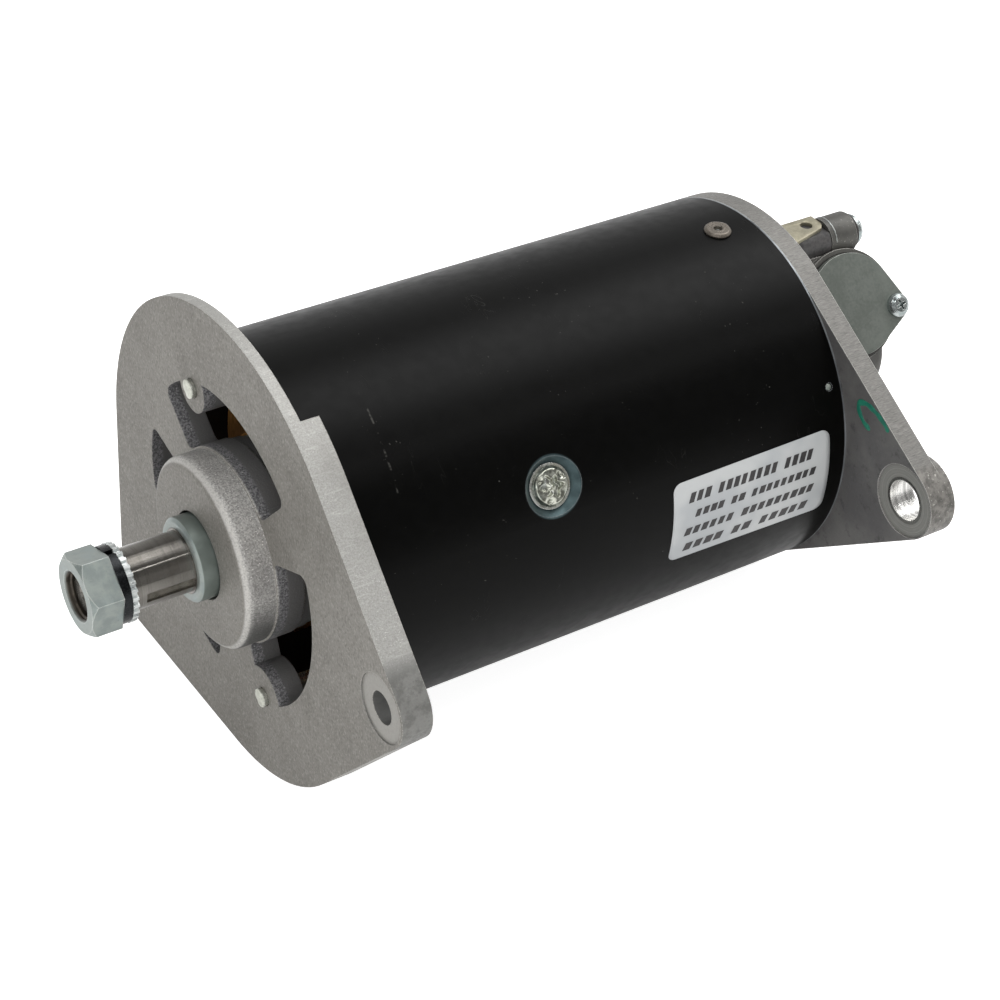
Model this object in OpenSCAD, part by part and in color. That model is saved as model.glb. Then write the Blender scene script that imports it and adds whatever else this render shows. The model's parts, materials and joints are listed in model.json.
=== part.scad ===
// Two-pole, two-brush direct-current generator of a tractor engine, with a rear tachometer drive.
// All sizes are millimetres. X runs along the shaft from the drive end to the rear and Z is up.
// The origin is on the shaft axis, at the shoulder that the pulley seats against.
// Angles are measured about +X, from +Y towards +Z.

/* [Yoke] */
// Outside diameter of the yoke tube
yoke_d = 101.6; // [94:0.1:110]
// Wall thickness of the yoke tube
yoke_wall = 6.4; // [5:0.1:8]
// Length of the yoke tube
yoke_len = 152; // [144:0.1:170]
// Outside diameter of the countersinks for the pole screws
countersink_d = 16; // [14:0.1:18]

/* [Drive end bracket] */
// Diameter of the round plate
de_plate_d = 127; // [120:0.5:140]
// Thickness of the plate at its rim
de_plate_t = 3.2; // [2.5:0.1:5]
// Thickness of the plate at its two lugs
de_lug_t = 8; // [6:0.1:12]
// Thickness of the plate around the windows, inside the yoke
de_inner_t = 7.5; // [6:0.1:10]
// Outside diameter of the bearing housing
hub_d = 50; // [47:0.5:56]
// Length of the housing in front of the plate
nose_len = 8.3; // [7:0.1:12]
// Diameter of the hole that the pulley collar comes out of
nose_hole_d = 23.2; // [22.8:0.1:25]
// Distance from the plate back to the pulley shoulder
shoulder_out = 13; // [12:0.1:16]
// Width of the rim that is left between the windows and the yoke bore
window_rim = 2.1; // [1.5:0.1:4]

/* [Mounting lugs] */
// Distance of the pivot bolt from the shaft axis
pivot_reach = 74; // [70:0.5:85]
// Direction of the pivot bolt from the shaft axis
pivot_angle = 177; // [172:1:182]
// Radius of the front pivot lug
pivot_lug_r = 9.7; // [8:0.1:12]
// Diameter of the front pivot hole
pivot_hole_d = 8.4; // [6.4:0.1:10.4]
// Radius of the rear pivot lug
rear_lug_r = 10.4; // [9:0.1:12]
// Diameter of the rear pivot hole
rear_hole_d = 11; // [8.4:0.1:12]
// Direction of the rear pivot hole from the shaft axis
rear_pivot_angle = 175.6; // [172:0.1:182]
// Distance of the adjusting bolt from the shaft axis
adjuster_reach = 78.8; // [74:0.1:90]
// Direction of the adjusting bolt from the shaft axis
adjuster_angle = 315; // [308:1:322]
// Diameter of the adjusting hole
adjuster_hole_d = 8.4; // [6.4:0.1:10.4]

/* [Commutator end bracket] */
// Thickness of the plate
ce_plate_t = 6; // [5:0.1:9]
// Thickness of the plate at its pivot lug
ce_lug_t = 8; // [6.5:0.1:12]
// Depth of the rim that locates in the yoke
spigot_t = 5.5; // [2:0.1:6]

/* [Through bolts] */
// Diameter of the circle of the two bolts
bolt_circle_d = 81; // [79:0.1:82]
// Direction of the first bolt, the second is opposite
bolt_angle = 64; // [60:1:68]
// Diameter of the bolts
bolt_d = 5; // [4:0.1:5.5]

/* [Shaft] */
// Diameter of the pulley seat
seat_d = 15.88; // [14:0.01:16.4]
// Length of the pulley seat
seat_len = 16; // [14:0.5:24]
// Diameter of the threaded end
thread_d = 12; // [10:0.1:13]
// Width across the flats of the shaft nut
nut_af = 19; // [17:0.1:21]
// Thickness of the shaft nut
nut_t = 8.2; // [6:0.1:11]
// Outside diameter of the two washers under the nut
washer_d = 20.4; // [18:0.1:22]
// Thickness of the toothed washer
toothed_t = 1.6; // [1:0.1:2.5]
// Thickness of the split spring washer
spring_t = 2.3; // [1.6:0.1:3.2]
// Outside diameter of the pulley collar
collar_d = 22; // [20:0.1:22.4]
// Width of the keyway
keyway_w = 3; // [2.5:0.1:4]
// Depth of the keyway
keyway_t = 1.8; // [1.2:0.1:2.4]
// Direction of the keyway
keyway_angle = 188; // [0:1:359]

/* [Bearings] */
// Bore of the ball bearing
bearing_bore = 17; // [16.6:0.1:18]
// Outside diameter of the ball bearing
bearing_d = 40; // [38:0.1:42]
// Width of the ball bearing
bearing_w = 12; // [11:0.1:14]
// Diameter of the balls
ball_d = 6.8; // [6:0.1:7.2]
// Number of balls
ball_count = 8; // [7:1:9]
// Diameter of the rear journal
journal_d = 15; // [12:0.1:16]
// Length of the rear bush
bush_len = 19; // [15:0.5:22]
// Running clearance of the journals, on the radius
journal_gap = 0.05; // [0.02:0.01:0.1]

/* [Armature] */
// Diameter of the core
core_d = 58; // [54:0.5:60]
// Length of the core
core_len = 70; // [60:1:76]
// Number of core slots
slot_count = 22; // [16:1:28]
// Air gap under the poles
air_gap = 0.6; // [0.4:0.1:1]
// Diameter of the commutator
commutator_d = 38; // [34:0.5:40]
// Length of the commutator
commutator_len = 28; // [24:0.5:30]
// Number of commutator bars
bar_count = 28; // [22:1:32]

/* [Field] */
// Direction of the first pole, the second is opposite
pole_angle = 152; // [148:1:156]
// Distance of the pole screws behind the front of the yoke
pole_x_in = 62.1; // [58:0.1:66]
// Angle that a pole face spans
pole_arc = 116; // [100:1:124]
// Angle that the stem of a pole spans
stem_arc = 62; // [50:1:70]

/* [Brush gear] */
// Tangential width of a brush
brush_w = 9; // [7:0.1:10]
// Axial length of a brush
brush_len = 18; // [14:0.1:20]
// Radial length of a brush
brush_h = 14; // [12:0.1:15]
// Distance that a brush lifts
brush_lift = 2; // [1:0.1:2.5]

/* [Terminals] */
// Direction of the screw boss
screw_boss_angle = 86.1; // [82:0.1:92]
// Distance of the screw boss from the shaft axis
screw_boss_out = 34.9; // [33:0.1:36]
// Diameter of the screw boss
screw_boss_d = 11.6; // [11:0.1:14]
// Width of the main blade at its root
blade_w = 9.5; // [8:0.1:10]
// Thickness of the main blade
blade_t = 1; // [0.8:0.1:1.6]

/* [Tachometer drive] */
// Distance of the cross spindle behind the rear bracket
cross_out = 23; // [22:0.1:28]
// Direction that the cover of the cross spindle faces
cross_angle = 145; // [140:1:150]
// Distance between the shaft axis and the cross spindle
worm_centres = 10.5; // [10.4:0.05:10.7]
// Distance of the outer face of the cover from the shaft axis
cover_out = 26; // [24:0.1:30]
// Radius of the round part of the cover
cover_r = 14.2; // [12.5:0.1:15]
// Thickness of the cover
cover_t = 1.6; // [1:0.1:2.5]
// Distance between the cover's centre and its screws
cover_screw_out = 14.3; // [13:0.1:15]
// Diameter of the threaded outlet for the cable
outlet_d = 18; // [16:0.1:20]
// Length of the threaded outlet
outlet_len = 13; // [10:0.5:18]

/* [Hidden] */
$fn = 96;
eps = 0.01;
over = 1;
seat_gap = 0.3;

// Stations along the shaft
plate_x = shoulder_out;
nose_x = plate_x - nose_len;
yoke_x0 = plate_x + de_plate_t;
yoke_x1 = yoke_x0 + yoke_len;
ce_x1 = yoke_x1 + ce_plate_t;
seat_x = -seat_len;
toothed_x = seat_x - toothed_t;
spring_x = toothed_x - spring_t;
nut_x = spring_x - nut_t;
shaft_x0 = nut_x + 2.2;
bearing_x0 = nose_x + 7.3;
bearing_x1 = bearing_x0 + bearing_w;
retainer_t = 2;
retainer_x1 = bearing_x1 + retainer_t;
pole_x = yoke_x0 + pole_x_in;
core_x0 = pole_x - core_len / 2;
core_x1 = pole_x + core_len / 2;
winding_end = 12.5;
commutator_x1 = yoke_x1 - 8;
commutator_x0 = commutator_x1 - commutator_len;
brush_x = commutator_x1 - commutator_len / 2;
bush_x0 = yoke_x1 - 5;
bush_x1 = bush_x0 + bush_len;
cross_x = ce_x1 + cross_out;

// Radii
yoke_r = yoke_d / 2;
bore_r = yoke_r - yoke_wall;
window_r = bore_r - window_rim;
hub_r = hub_d / 2;
ledge = 0.5;
window_in_r = hub_r + ledge;
core_r = core_d / 2;
pole_face_r = core_r + air_gap;
commutator_r = commutator_d / 2;
journal_r = journal_d / 2;
bush_r = journal_r + 2.5;
ce_boss_r = bush_r + 3.5;
bolt_out = bolt_circle_d / 2;
bolt_hole_gap = 0.2;

// Ball bearing
inner_race_r = bearing_bore / 2 + 3.2;
outer_race_r = bearing_d / 2 - 3.2;
ball_pitch_r = (inner_race_r + outer_race_r) / 2;
ball_gap = 0.06;
groove_r = ball_d / 2 + ball_gap;

// Felt seal
felt_r = 16;
felt_x0 = nose_x + 3;
felt_x1 = bearing_x0 - 1.2;

// Pole screws
screw_shank_r = 4;
screw_head_r = 6.1;
countersink_t = 3.4;
screw_head_sink = 1.7;

// Brush boxes, in each one's own frame: the radius is Y, the tangent is Z
brush_in_r = commutator_r + 0.3;
brush_top_r = brush_in_r + brush_h;
box_wall = 1.6;
box_gap = 0.3;
box_in_r = commutator_r + 2.5;
box_top_r = brush_top_r - 1.8;
post_r = 2.2;
post_off = brush_w / 2 + 8.5;
arm_t = 1.5;
arm_nose = 1.5;
arm_x0 = brush_x - 4;
arm_x1 = brush_x + 4;
coil_r = 4.6;
arm_r0 = brush_top_r + seat_gap + arm_nose;
post_out = arm_r0 + arm_t - coil_r;

// Worm drive of the tachometer
worm_starts = 3;
wheel_teeth = 12;
tooth_module = 1;
wheel_pitch_r = tooth_module * wheel_teeth / 2;
worm_pitch_r = worm_centres - wheel_pitch_r;
worm_lead = worm_starts * PI * tooth_module;
addendum = 0.9 * tooth_module;
dedendum = 1.2 * tooth_module;
backlash = 0.12;
worm_len = 13;
wheel_w = 6;
worm_x0 = cross_x - worm_len / 2;
worm_stem_r = 2.2;
worm_stem_in = 7;
shaft_x1 = worm_x0 - 1;
shaft_tail_r = 4.5;
spindle_r = 3;
cross_bore_r = wheel_pitch_r + addendum + 1;
worm_bore_r = worm_pitch_r + addendum + 1;
bush_gap = 0.3;
drive_bush_len = 11;

// Housing of the tachometer drive
housing_flange_r = 33;
housing_flange_t = 4;
housing_r = 25;
housing_x1 = ce_x1 + 20;
tail_r = 16.2;
tail_x1 = cross_x + 15;
tail_round = 3;
barrel_r = cover_r + 1.4;
barrel_step = 1;
slab_t = 3;
slab_grow = 0.4;
barrel_in = -25.5;
gasket_t = 0.6;
barrel_out = cover_out - cover_t - gasket_t;
block_out = barrel_out - 1.5;
block_low = -12;
outlet_r = outlet_d / 2;
outlet_bore_r = 5.5;
outlet_end = barrel_in - outlet_len;
cover_lug_r = 3.9;
cover_turn = 15.7;
cover_screw_r = 2;
cover_screw_in = 10;
housing_screw_angles = [50, 190, 300];
housing_screw_out = 29.3;
housing_screw_r = 2;
housing_screw_in = 4.5;

// Windows of the drive end bracket
window_spans = [[40, 132.5], [156, 246], [279, 300], [345, 375]];
window_fillet = 2.5;
first_pad_r = 6.5;
second_pad_r = 8.5;
nose_round = 2.5;
web_r = de_plate_d / 2;
web_spread = 58;
spotface_t = 0.4;
retainer_angle = 10;
retainer_screw_r = hub_r - 2.6;
retainer_screw_in = 5;
cage_w = ball_d + 2;

// Through bolts
bolt_peen = 1;
bolt_head_x = ce_x1 + 1.2;
bolt_head_t = 4;

// Poles and coils
sink_t = countersink_d / 2 - screw_shank_r - 0.2;
screw_top_r = yoke_r - 1.9;
screw_in_r = yoke_r - 16;
stake_r = 3.4;
stake_t = 0.5;
pole_len = core_len - 6;
pole_x0 = pole_x - pole_len / 2;
shoe_r = pole_face_r + 3.4;
coil_gap = 0.6;
coil_w = 9.8;
coil_arc = 104;

// Fittings in the yoke's wall
rivet_back = 11.4;
rivet_x = yoke_x1 - rivet_back;
rivet_angle = 92;
rivet_r = 1.9;
rivet_flange_r = 3.6;
peg_back = 4;
peg_x = yoke_x1 - peg_back;
peg_angle = 151;
peg_r = 1;
peg_in_r = bore_r - 2.4;

// Brush gear on the rear bracket
insulator_t = 1.2;
foot_top_r = box_top_r + 5;
post_seat = 3;
post_foot_r = 3.2;

// Terminals on the rear bracket
screw_boss_r = screw_boss_d / 2;
screw_boss_y = screw_boss_out * cos(screw_boss_angle);
screw_boss_z = screw_boss_out * sin(screw_boss_angle);
tower_x0 = ce_x1 + 22.9;
tower_x1 = tower_x0 + 8.8;
block_stem_r = 4;
blade_z = screw_boss_z + 4.2;
blade_x0 = ce_x1 + 4;
blade_x1 = tower_x0 - 0.2;
blade_side = screw_boss_y + 4.4;

// Armature
spine_r = bearing_bore / 2 + 0.9;
slot_w = 3.4;
slot_in_r = core_r - 10;
commutator_in_r = commutator_r - 6;
riser_x0 = commutator_x0 - 3;
riser_r = commutator_r + 2;
nut_turn = 162;

// Shapes drawn flat as Y and Z, and raised along X from x
module axial(x) {
    translate([x, 0, 0])
        rotate([90, 0, 90])
            children();
}

// Rod along X
module rod(x0, x1, r) {
    axial(x0)
        cylinder(r = r, h = x1 - x0);
}

// Tube along X
module tube(x0, x1, r_out, r_in) {
    difference() {
        rod(x0, x1, r_out);
        rod(x0 - over, x1 + over, r_in);
    }
}

// Moves pieces out from the shaft axis in one direction
module out_at(angle, radius) {
    rotate([angle, 0, 0])
        translate([0, radius, 0])
            children();
}

// Turns a Z axis to point away from the shaft axis, at station x
module radial(x, angle) {
    translate([x, 0, 0])
        rotate([angle - 90, 0, 0])
            children();
}

module wedge(r, a0, a1) {
    polygon(concat([[0, 0]], [for (i = [0:4]) let (a = a0 + (a1 - a0) * i / 4) 1.5 * r * [cos(a), sin(a)]]));
}

module sector(r_in, r_out, a0, a1) {
    intersection() {
        difference() {
            circle(r = r_out);
            circle(r = r_in);
        }
        wedge(r_out, a0, a1);
    }
}

// Round lug and the straight flanks that join it to a circle about the origin
module lug(r_big, r_small, reach, angle) {
    spread = acos((r_big - r_small) / reach);
    flank = [cos(spread), sin(spread)];
    tip = [reach, 0] + r_small * flank;
    rotate(angle) {
        translate([reach, 0])
            circle(r = r_small);
        polygon([[0, 0], r_big * flank, tip, [tip.x, -tip.y], [r_big * flank.x, -r_big * flank.y]]);
    }
}

// Profile of radius and station turned about the shaft axis
module turned(points) {
    axial(0)
        rotate_extrude()
            polygon(points);
}

// Hexagon head or nut along X, with its corners turned off on the face at x0
module hexagon(x0, x1, across_flats) {
    corner_r = across_flats / sqrt(3);
    cut = (corner_r - across_flats / 2) * tan(30);
    intersection() {
        axial(x0)
            cylinder(r = corner_r, h = x1 - x0, $fn = 6);
        turned([[0, x0], [across_flats / 2, x0], [corner_r, x0 + cut * 1.6], [corner_r, x1], [0, x1]]);
    }
}

// Corner of a window, at radius r and angle a, rounded towards the window's inside
module window_corner(r, a, side, inward) {
    centre_r = r + inward * window_fillet;
    rotate(a + side * asin(window_fillet / centre_r))
        translate([centre_r, 0])
            circle(r = window_fillet - 0.02);
}

module window(a0, a1) {
    in_turn = asin(window_fillet / (window_in_r + window_fillet));
    out_turn = asin(window_fillet / (window_r - window_fillet));
    mid_r = (window_in_r + window_r) / 2;
    sector(window_in_r, mid_r, a0 + in_turn, a1 - in_turn);
    sector(mid_r - eps, window_r, a0 + out_turn, a1 - out_turn);
    sector(window_in_r + window_fillet, window_r - window_fillet, a0, a1);
    window_corner(window_in_r, a0, 1, 1);
    window_corner(window_in_r, a1, -1, 1);
    window_corner(window_r, a0, 1, -1);
    window_corner(window_r, a1, -1, -1);
}

// Cooling windows, kept clear of the pads of the two through bolts
module windows() {
    difference() {
        union() {
            for (span = window_spans)
                window(span[0], span[1]);
        }
        rotate(bolt_angle)
            translate([bolt_out, 0])
                circle(r = first_pad_r);
        rotate(bolt_angle + 180)
            translate([bolt_out, 0])
                circle(r = second_pad_r);
    }
}

// Thicker part of the plate around a lug, outside the yoke
module lug_web(r_small, reach, angle) {
    difference() {
        intersection() {
            union() {
                lug(web_r, r_small, reach, angle);
                circle(r = web_r);
            }
            wedge(reach, angle - web_spread, angle + web_spread);
        }
        circle(r = yoke_r + seat_gap);
    }
}

module yoke() {
    color([0.1, 0.1, 0.1])
        difference() {
            tube(yoke_x0, yoke_x1, yoke_r, bore_r);
            for (side = [0, 180])
                radial(pole_x, pole_angle + side) {
                    cylinder(r = screw_shank_r + 0.2, h = yoke_r + over);
                    translate([0, 0, yoke_r - sink_t])
                        cylinder(r1 = screw_shank_r + 0.2, r2 = screw_shank_r + 0.2 + sink_t + over,
                            h = sink_t + over);
                }
            radial(rivet_x, rivet_angle)
                cylinder(r = rivet_r + 0.1, h = yoke_r + over);
            radial(peg_x, peg_angle)
                cylinder(r = peg_r + 0.05, h = yoke_r + over);
        }
}

module drive_end_bracket() {
    color([0.57, 0.56, 0.53])
        difference() {
            union() {
                axial(plate_x)
                    linear_extrude(de_plate_t) {
                        circle(r = de_plate_d / 2);
                        lug(de_plate_d / 2, pivot_lug_r, pivot_reach, pivot_angle);
                        lug(de_plate_d / 2, pivot_lug_r, adjuster_reach, adjuster_angle);
                    }
                axial(yoke_x0 - eps)
                    linear_extrude(plate_x + de_lug_t - yoke_x0 + eps) {
                        lug_web(pivot_lug_r, pivot_reach, pivot_angle);
                        lug_web(pivot_lug_r, adjuster_reach, adjuster_angle);
                    }
                rod(yoke_x0 - eps, plate_x + de_inner_t, bore_r - 0.1);
                // Bearing housing, rounded at its front edge
                axial(0)
                    rotate_extrude() {
                        translate([0, nose_x])
                            square([hub_r - nose_round, nose_round + eps]);
                        translate([0, nose_x + nose_round])
                            square([hub_r, bearing_x1 - nose_x - nose_round]);
                        intersection() {
                            translate([hub_r - nose_round, nose_x + nose_round])
                                circle(r = nose_round);
                            translate([0, nose_x])
                                square([hub_r + over, nose_round + eps]);
                        }
                    }
            }
            axial(plate_x - over)
                linear_extrude(de_inner_t + 2 * over)
                    windows();
            rod(nose_x - over, felt_x0 + eps, nose_hole_d / 2);
            rod(felt_x0, bearing_x0 + eps, felt_r);
            rod(bearing_x0, bearing_x1 + over, bearing_d / 2 + 0.02);
            for (side = [0, 180])
                out_at(bolt_angle + side, bolt_out)
                    rod(plate_x - over, plate_x + de_inner_t + over, bolt_d / 2 + 0.1);
            out_at(pivot_angle, pivot_reach) {
                rod(plate_x - over, plate_x + de_lug_t + over, pivot_hole_d / 2);
                rod(plate_x - over, plate_x + spotface_t, pivot_lug_r - 0.9);
            }
            out_at(adjuster_angle, adjuster_reach)
                rod(plate_x - over, plate_x + de_lug_t + over, adjuster_hole_d / 2);
            for (i = [0:2])
                out_at(retainer_angle + 120 * i, retainer_screw_r)
                    rod(bearing_x1 - retainer_screw_in, bearing_x1 + over, 1.3);
        }
}

module commutator_end_bracket() {
    color([0.62, 0.61, 0.58])
        difference() {
            union() {
                axial(yoke_x1)
                    linear_extrude(ce_plate_t) {
                        circle(r = yoke_r);
                        lug(yoke_r, rear_lug_r, pivot_reach, rear_pivot_angle);
                    }
                axial(ce_x1 - eps)
                    linear_extrude(ce_lug_t - ce_plate_t + eps)
                        rotate(rear_pivot_angle)
                            translate([pivot_reach, 0])
                                circle(r = rear_lug_r);
                tube(yoke_x1 - spigot_t, yoke_x1 + eps, bore_r - 0.1, bore_r - 4);
                rod(bush_x0, bush_x1, ce_boss_r);
            }
            rod(bush_x0 - over, bush_x1 + over, bush_r + 0.02);
            for (side = [0, 180])
                out_at(bolt_angle + side, bolt_out)
                    rod(yoke_x1 - spigot_t - over, ce_x1 + over, bolt_d / 2 + bolt_hole_gap);
            out_at(rear_pivot_angle, pivot_reach) {
                rod(yoke_x1 - over, yoke_x1 + ce_lug_t + over, rear_hole_d / 2);
                rod(yoke_x1 - over, yoke_x1 + spotface_t, rear_lug_r - 0.4);
            }
            for (angle = housing_screw_angles)
                out_at(angle, housing_screw_out)
                    rod(ce_x1 - housing_screw_in, ce_x1 + over, housing_screw_r + 0.1);
            translate([0, screw_boss_y, screw_boss_z])
                rod(yoke_x1 - over, ce_x1 + over, block_stem_r + 0.1);
            radial(peg_x, peg_angle)
                translate([0, 0, peg_in_r])
                    cylinder(r = peg_r + 0.05, h = yoke_r - peg_in_r + over);
            for (side = [0, 180])
                radial(0, pole_angle + side)
                    translate([0, post_off, post_out])
                        rod(yoke_x1 - over, yoke_x1 + post_seat, post_foot_r + 0.05);
        }
}

module pole_shoes() {
    color([0.3, 0.3, 0.31])
        difference() {
            for (side = [0, 180])
                axial(pole_x0)
                    linear_extrude(pole_len)
                        rotate(pole_angle + side) {
                            sector(pole_face_r, shoe_r, -pole_arc / 2, pole_arc / 2);
                            sector(shoe_r - eps, bore_r - 0.05, -stem_arc / 2, stem_arc / 2);
                        }
            for (side = [0, 180])
                radial(pole_x, pole_angle + side)
                    translate([0, 0, screw_in_r - 0.5])
                        cylinder(r = screw_shank_r + 0.05, h = yoke_r);
        }
}

// Coils wound around the pole stems, behind the tips of the pole shoes
module field_coils() {
    color([0.48, 0.3, 0.18])
        for (side = [0, 180])
            difference() {
                axial(pole_x0 - coil_gap - coil_w)
                    linear_extrude(pole_len + 2 * (coil_gap + coil_w))
                        rotate(pole_angle + side)
                            sector(shoe_r + seat_gap, bore_r - seat_gap, -coil_arc / 2, coil_arc / 2);
                axial(pole_x0 - coil_gap)
                    linear_extrude(pole_len + 2 * coil_gap)
                        rotate(pole_angle + side)
                            sector(shoe_r - over, bore_r + over, -stem_arc / 2 - 1, stem_arc / 2 + 1);
            }
}

module pole_screws() {
    color([0.74, 0.73, 0.68])
        for (side = [0, 180])
            radial(pole_x, pole_angle + side)
                difference() {
                    union() {
                        translate([0, 0, screw_in_r])
                            cylinder(r = screw_shank_r, h = screw_top_r - screw_in_r);
                        translate([0, 0, yoke_r - sink_t + 0.1])
                            cylinder(r1 = screw_shank_r, r2 = screw_shank_r + screw_top_r - yoke_r + sink_t - 0.1,
                                h = screw_top_r - yoke_r + sink_t - 0.1);
                    }
                    // Sunk ring around the staked middle
                    translate([0, 0, screw_top_r - stake_t])
                        difference() {
                            cylinder(r = screw_head_r - 1.2, h = stake_t + over);
                            translate([0, 0, -over])
                                cylinder(r = stake_r, h = stake_t + 3 * over);
                        }
                }
}

module through_bolts() {
    color([0.7, 0.69, 0.64])
        for (side = [0, 180])
            out_at(bolt_angle + side, bolt_out)
                difference() {
                    union() {
                        rod(plate_x - bolt_peen, bolt_head_x + eps, bolt_d / 2);
                        rod(bolt_head_x, bolt_head_x + bolt_head_t, bolt_d / 2 + 2);
                    }
                    translate([bolt_head_x + bolt_head_t - 1.2, -bolt_d, -0.6])
                        cube([3, 2 * bolt_d, 1.2]);
                }
}

module bolt_spring_washers() {
    color([0.5, 0.5, 0.5])
        for (side = [0, 180])
            out_at(bolt_angle + side, bolt_out)
                difference() {
                    tube(ce_x1, bolt_head_x, bolt_d / 2 + 1.8, bolt_d / 2 + 0.1);
                    rotate([25, 0, 0])
                        translate([ce_x1 - over, -0.4, 0])
                            cube([bolt_head_x - ce_x1 + 2 * over, 0.8, bolt_d + 3]);
                }
}

// Profile of a bearing race, with the groove that the balls run in
module race(r_in, r_out) {
    axial(0)
        rotate_extrude()
            difference() {
                translate([r_in, bearing_x0])
                    square([r_out - r_in, bearing_w]);
                translate([ball_pitch_r, bearing_x0 + bearing_w / 2])
                    circle(r = groove_r);
            }
}

module bearing_outer_race() {
    color([0.7, 0.71, 0.72])
        race(outer_race_r, bearing_d / 2);
}

module bearing_inner_race() {
    color([0.7, 0.71, 0.72])
        race(bearing_bore / 2 + 0.02, inner_race_r);
}

module bearing_balls() {
    color([0.82, 0.82, 0.84])
        for (i = [0:ball_count - 1])
            out_at(360 / ball_count * i, ball_pitch_r)
                translate([bearing_x0 + bearing_w / 2, 0, 0])
                    sphere(r = ball_d / 2);
}

module bearing_cage() {
    color([0.72, 0.6, 0.3])
        difference() {
            tube(bearing_x0 + bearing_w / 2 - cage_w / 2, bearing_x0 + bearing_w / 2 + cage_w / 2,
                ball_pitch_r + 1, ball_pitch_r - 1);
            for (i = [0:ball_count - 1])
                radial(bearing_x0 + bearing_w / 2, 360 / ball_count * i)
                    cylinder(r = ball_d / 2 + 0.1, h = bearing_d);
        }
}

module bearing_retainer() {
    color([0.6, 0.6, 0.58])
        difference() {
            tube(bearing_x1, retainer_x1, hub_r - 0.4, outer_race_r - 2);
            for (i = [0:2])
                out_at(retainer_angle + 120 * i, retainer_screw_r)
                    rod(bearing_x1 - over, retainer_x1 + over, 1.3);
        }
}

module retainer_rivets() {
    color([0.55, 0.55, 0.56])
        for (i = [0:2])
            out_at(retainer_angle + 120 * i, retainer_screw_r) {
                rod(bearing_x1 - retainer_screw_in + 0.3, retainer_x1 + eps, 1.2);
                rod(retainer_x1, retainer_x1 + 1.2, 2.1);
            }
}

module felt_ring() {
    color([0.5, 0.46, 0.38])
        tube(felt_x0, felt_x1, felt_r - 0.1, collar_d / 2 + seat_gap);
}

module felt_pressure_ring() {
    color([0.66, 0.66, 0.65])
        tube(felt_x1, bearing_x0, felt_r - 0.1, inner_race_r + 0.8);
}

module rear_bush() {
    color([0.62, 0.45, 0.22])
        tube(bush_x0, bush_x1, bush_r, journal_r + journal_gap);
}

// Box that guides a brush, with the foot that carries it on the rear bracket
module brush_box() {
    half_len = brush_len / 2 + box_gap;
    half_w = brush_w / 2 + box_gap;
    foot_x = yoke_x1 - insulator_t - brush_x;
    difference() {
        union() {
            translate([-half_len - box_wall, -half_w - box_wall, box_in_r])
                cube([2 * (half_len + box_wall), 2 * (half_w + box_wall), box_top_r - box_in_r]);
            translate([half_len, -half_w - box_wall, box_in_r])
                cube([foot_x - half_len, 2 * (half_w + box_wall), box_wall]);
            for (side = [-1, 1])
                translate([half_len, side * (half_w + box_wall / 2) - box_wall / 2, box_in_r])
                    cube([foot_x - half_len, box_wall, box_top_r - box_in_r]);
            translate([foot_x - box_wall, -half_w - box_wall, box_in_r])
                cube([box_wall, 2 * (half_w + box_wall), foot_top_r - box_in_r]);
        }
        translate([-half_len, -half_w, box_in_r - over])
            cube([2 * half_len, 2 * half_w, box_top_r]);
        translate([foot_x - box_wall - over, 0, foot_top_r - 3])
            rotate([0, 90, 0])
                cylinder(r = 1.5, h = box_wall + 2 * over);
    }
}

module brush_boxes() {
    color([0.72, 0.56, 0.25])
        for (side = [0, 180])
            radial(brush_x, pole_angle + side)
                brush_box();
}

module box_insulators() {
    half_w = brush_w / 2 + box_gap + box_wall + 1;
    color([0.32, 0.18, 0.1])
        for (side = [0, 180])
            radial(yoke_x1 - insulator_t, pole_angle + side)
                translate([0, -half_w, box_in_r - 1])
                    cube([insulator_t, 2 * half_w, foot_top_r - box_in_r + 2]);
}

module spring_posts() {
    color([0.5, 0.5, 0.52])
        for (side = [0, 180])
            radial(0, pole_angle + side)
                translate([0, post_off, post_out]) {
                    rod(arm_x0 - seat_gap - 1.2, arm_x0 - seat_gap, post_foot_r);
                    rod(arm_x0 - seat_gap - eps, arm_x1 + seat_gap + eps, post_r);
                    rod(arm_x1 + seat_gap, yoke_x1 + post_seat, post_foot_r);
                }
}

module brush(angle) {
    low = brush_in_r * cos(asin(brush_w / 2 / brush_in_r));
    color([0.16, 0.16, 0.17])
        difference() {
            radial(brush_x, angle)
                translate([-brush_len / 2, -brush_w / 2, low])
                    cube([brush_len, brush_w, brush_top_r - low]);
            rod(brush_x - brush_len, brush_x + brush_len, brush_in_r);
        }
}

module brush_a() {
    brush(pole_angle);
}

module brush_b() {
    brush(pole_angle + 180);
}

// Spring arm that turns on its post and presses a brush through its round nose
module spring_arm(angle) {
    color([0.45, 0.46, 0.48])
        radial(0, angle)
            difference() {
                union() {
                    translate([0, post_off, post_out])
                        rod(arm_x0, arm_x1, coil_r);
                    translate([arm_x0, 0, arm_r0])
                        cube([arm_x1 - arm_x0, post_off, arm_t]);
                    translate([0, 0, arm_r0])
                        rod(arm_x0, arm_x1, arm_nose);
                }
                translate([0, post_off, post_out])
                    rod(arm_x0 - over, arm_x1 + over, post_r + 0.08);
            }
}

module spring_arm_a() {
    spring_arm(pole_angle);
}

module spring_arm_b() {
    spring_arm(pole_angle + 180);
}

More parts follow.
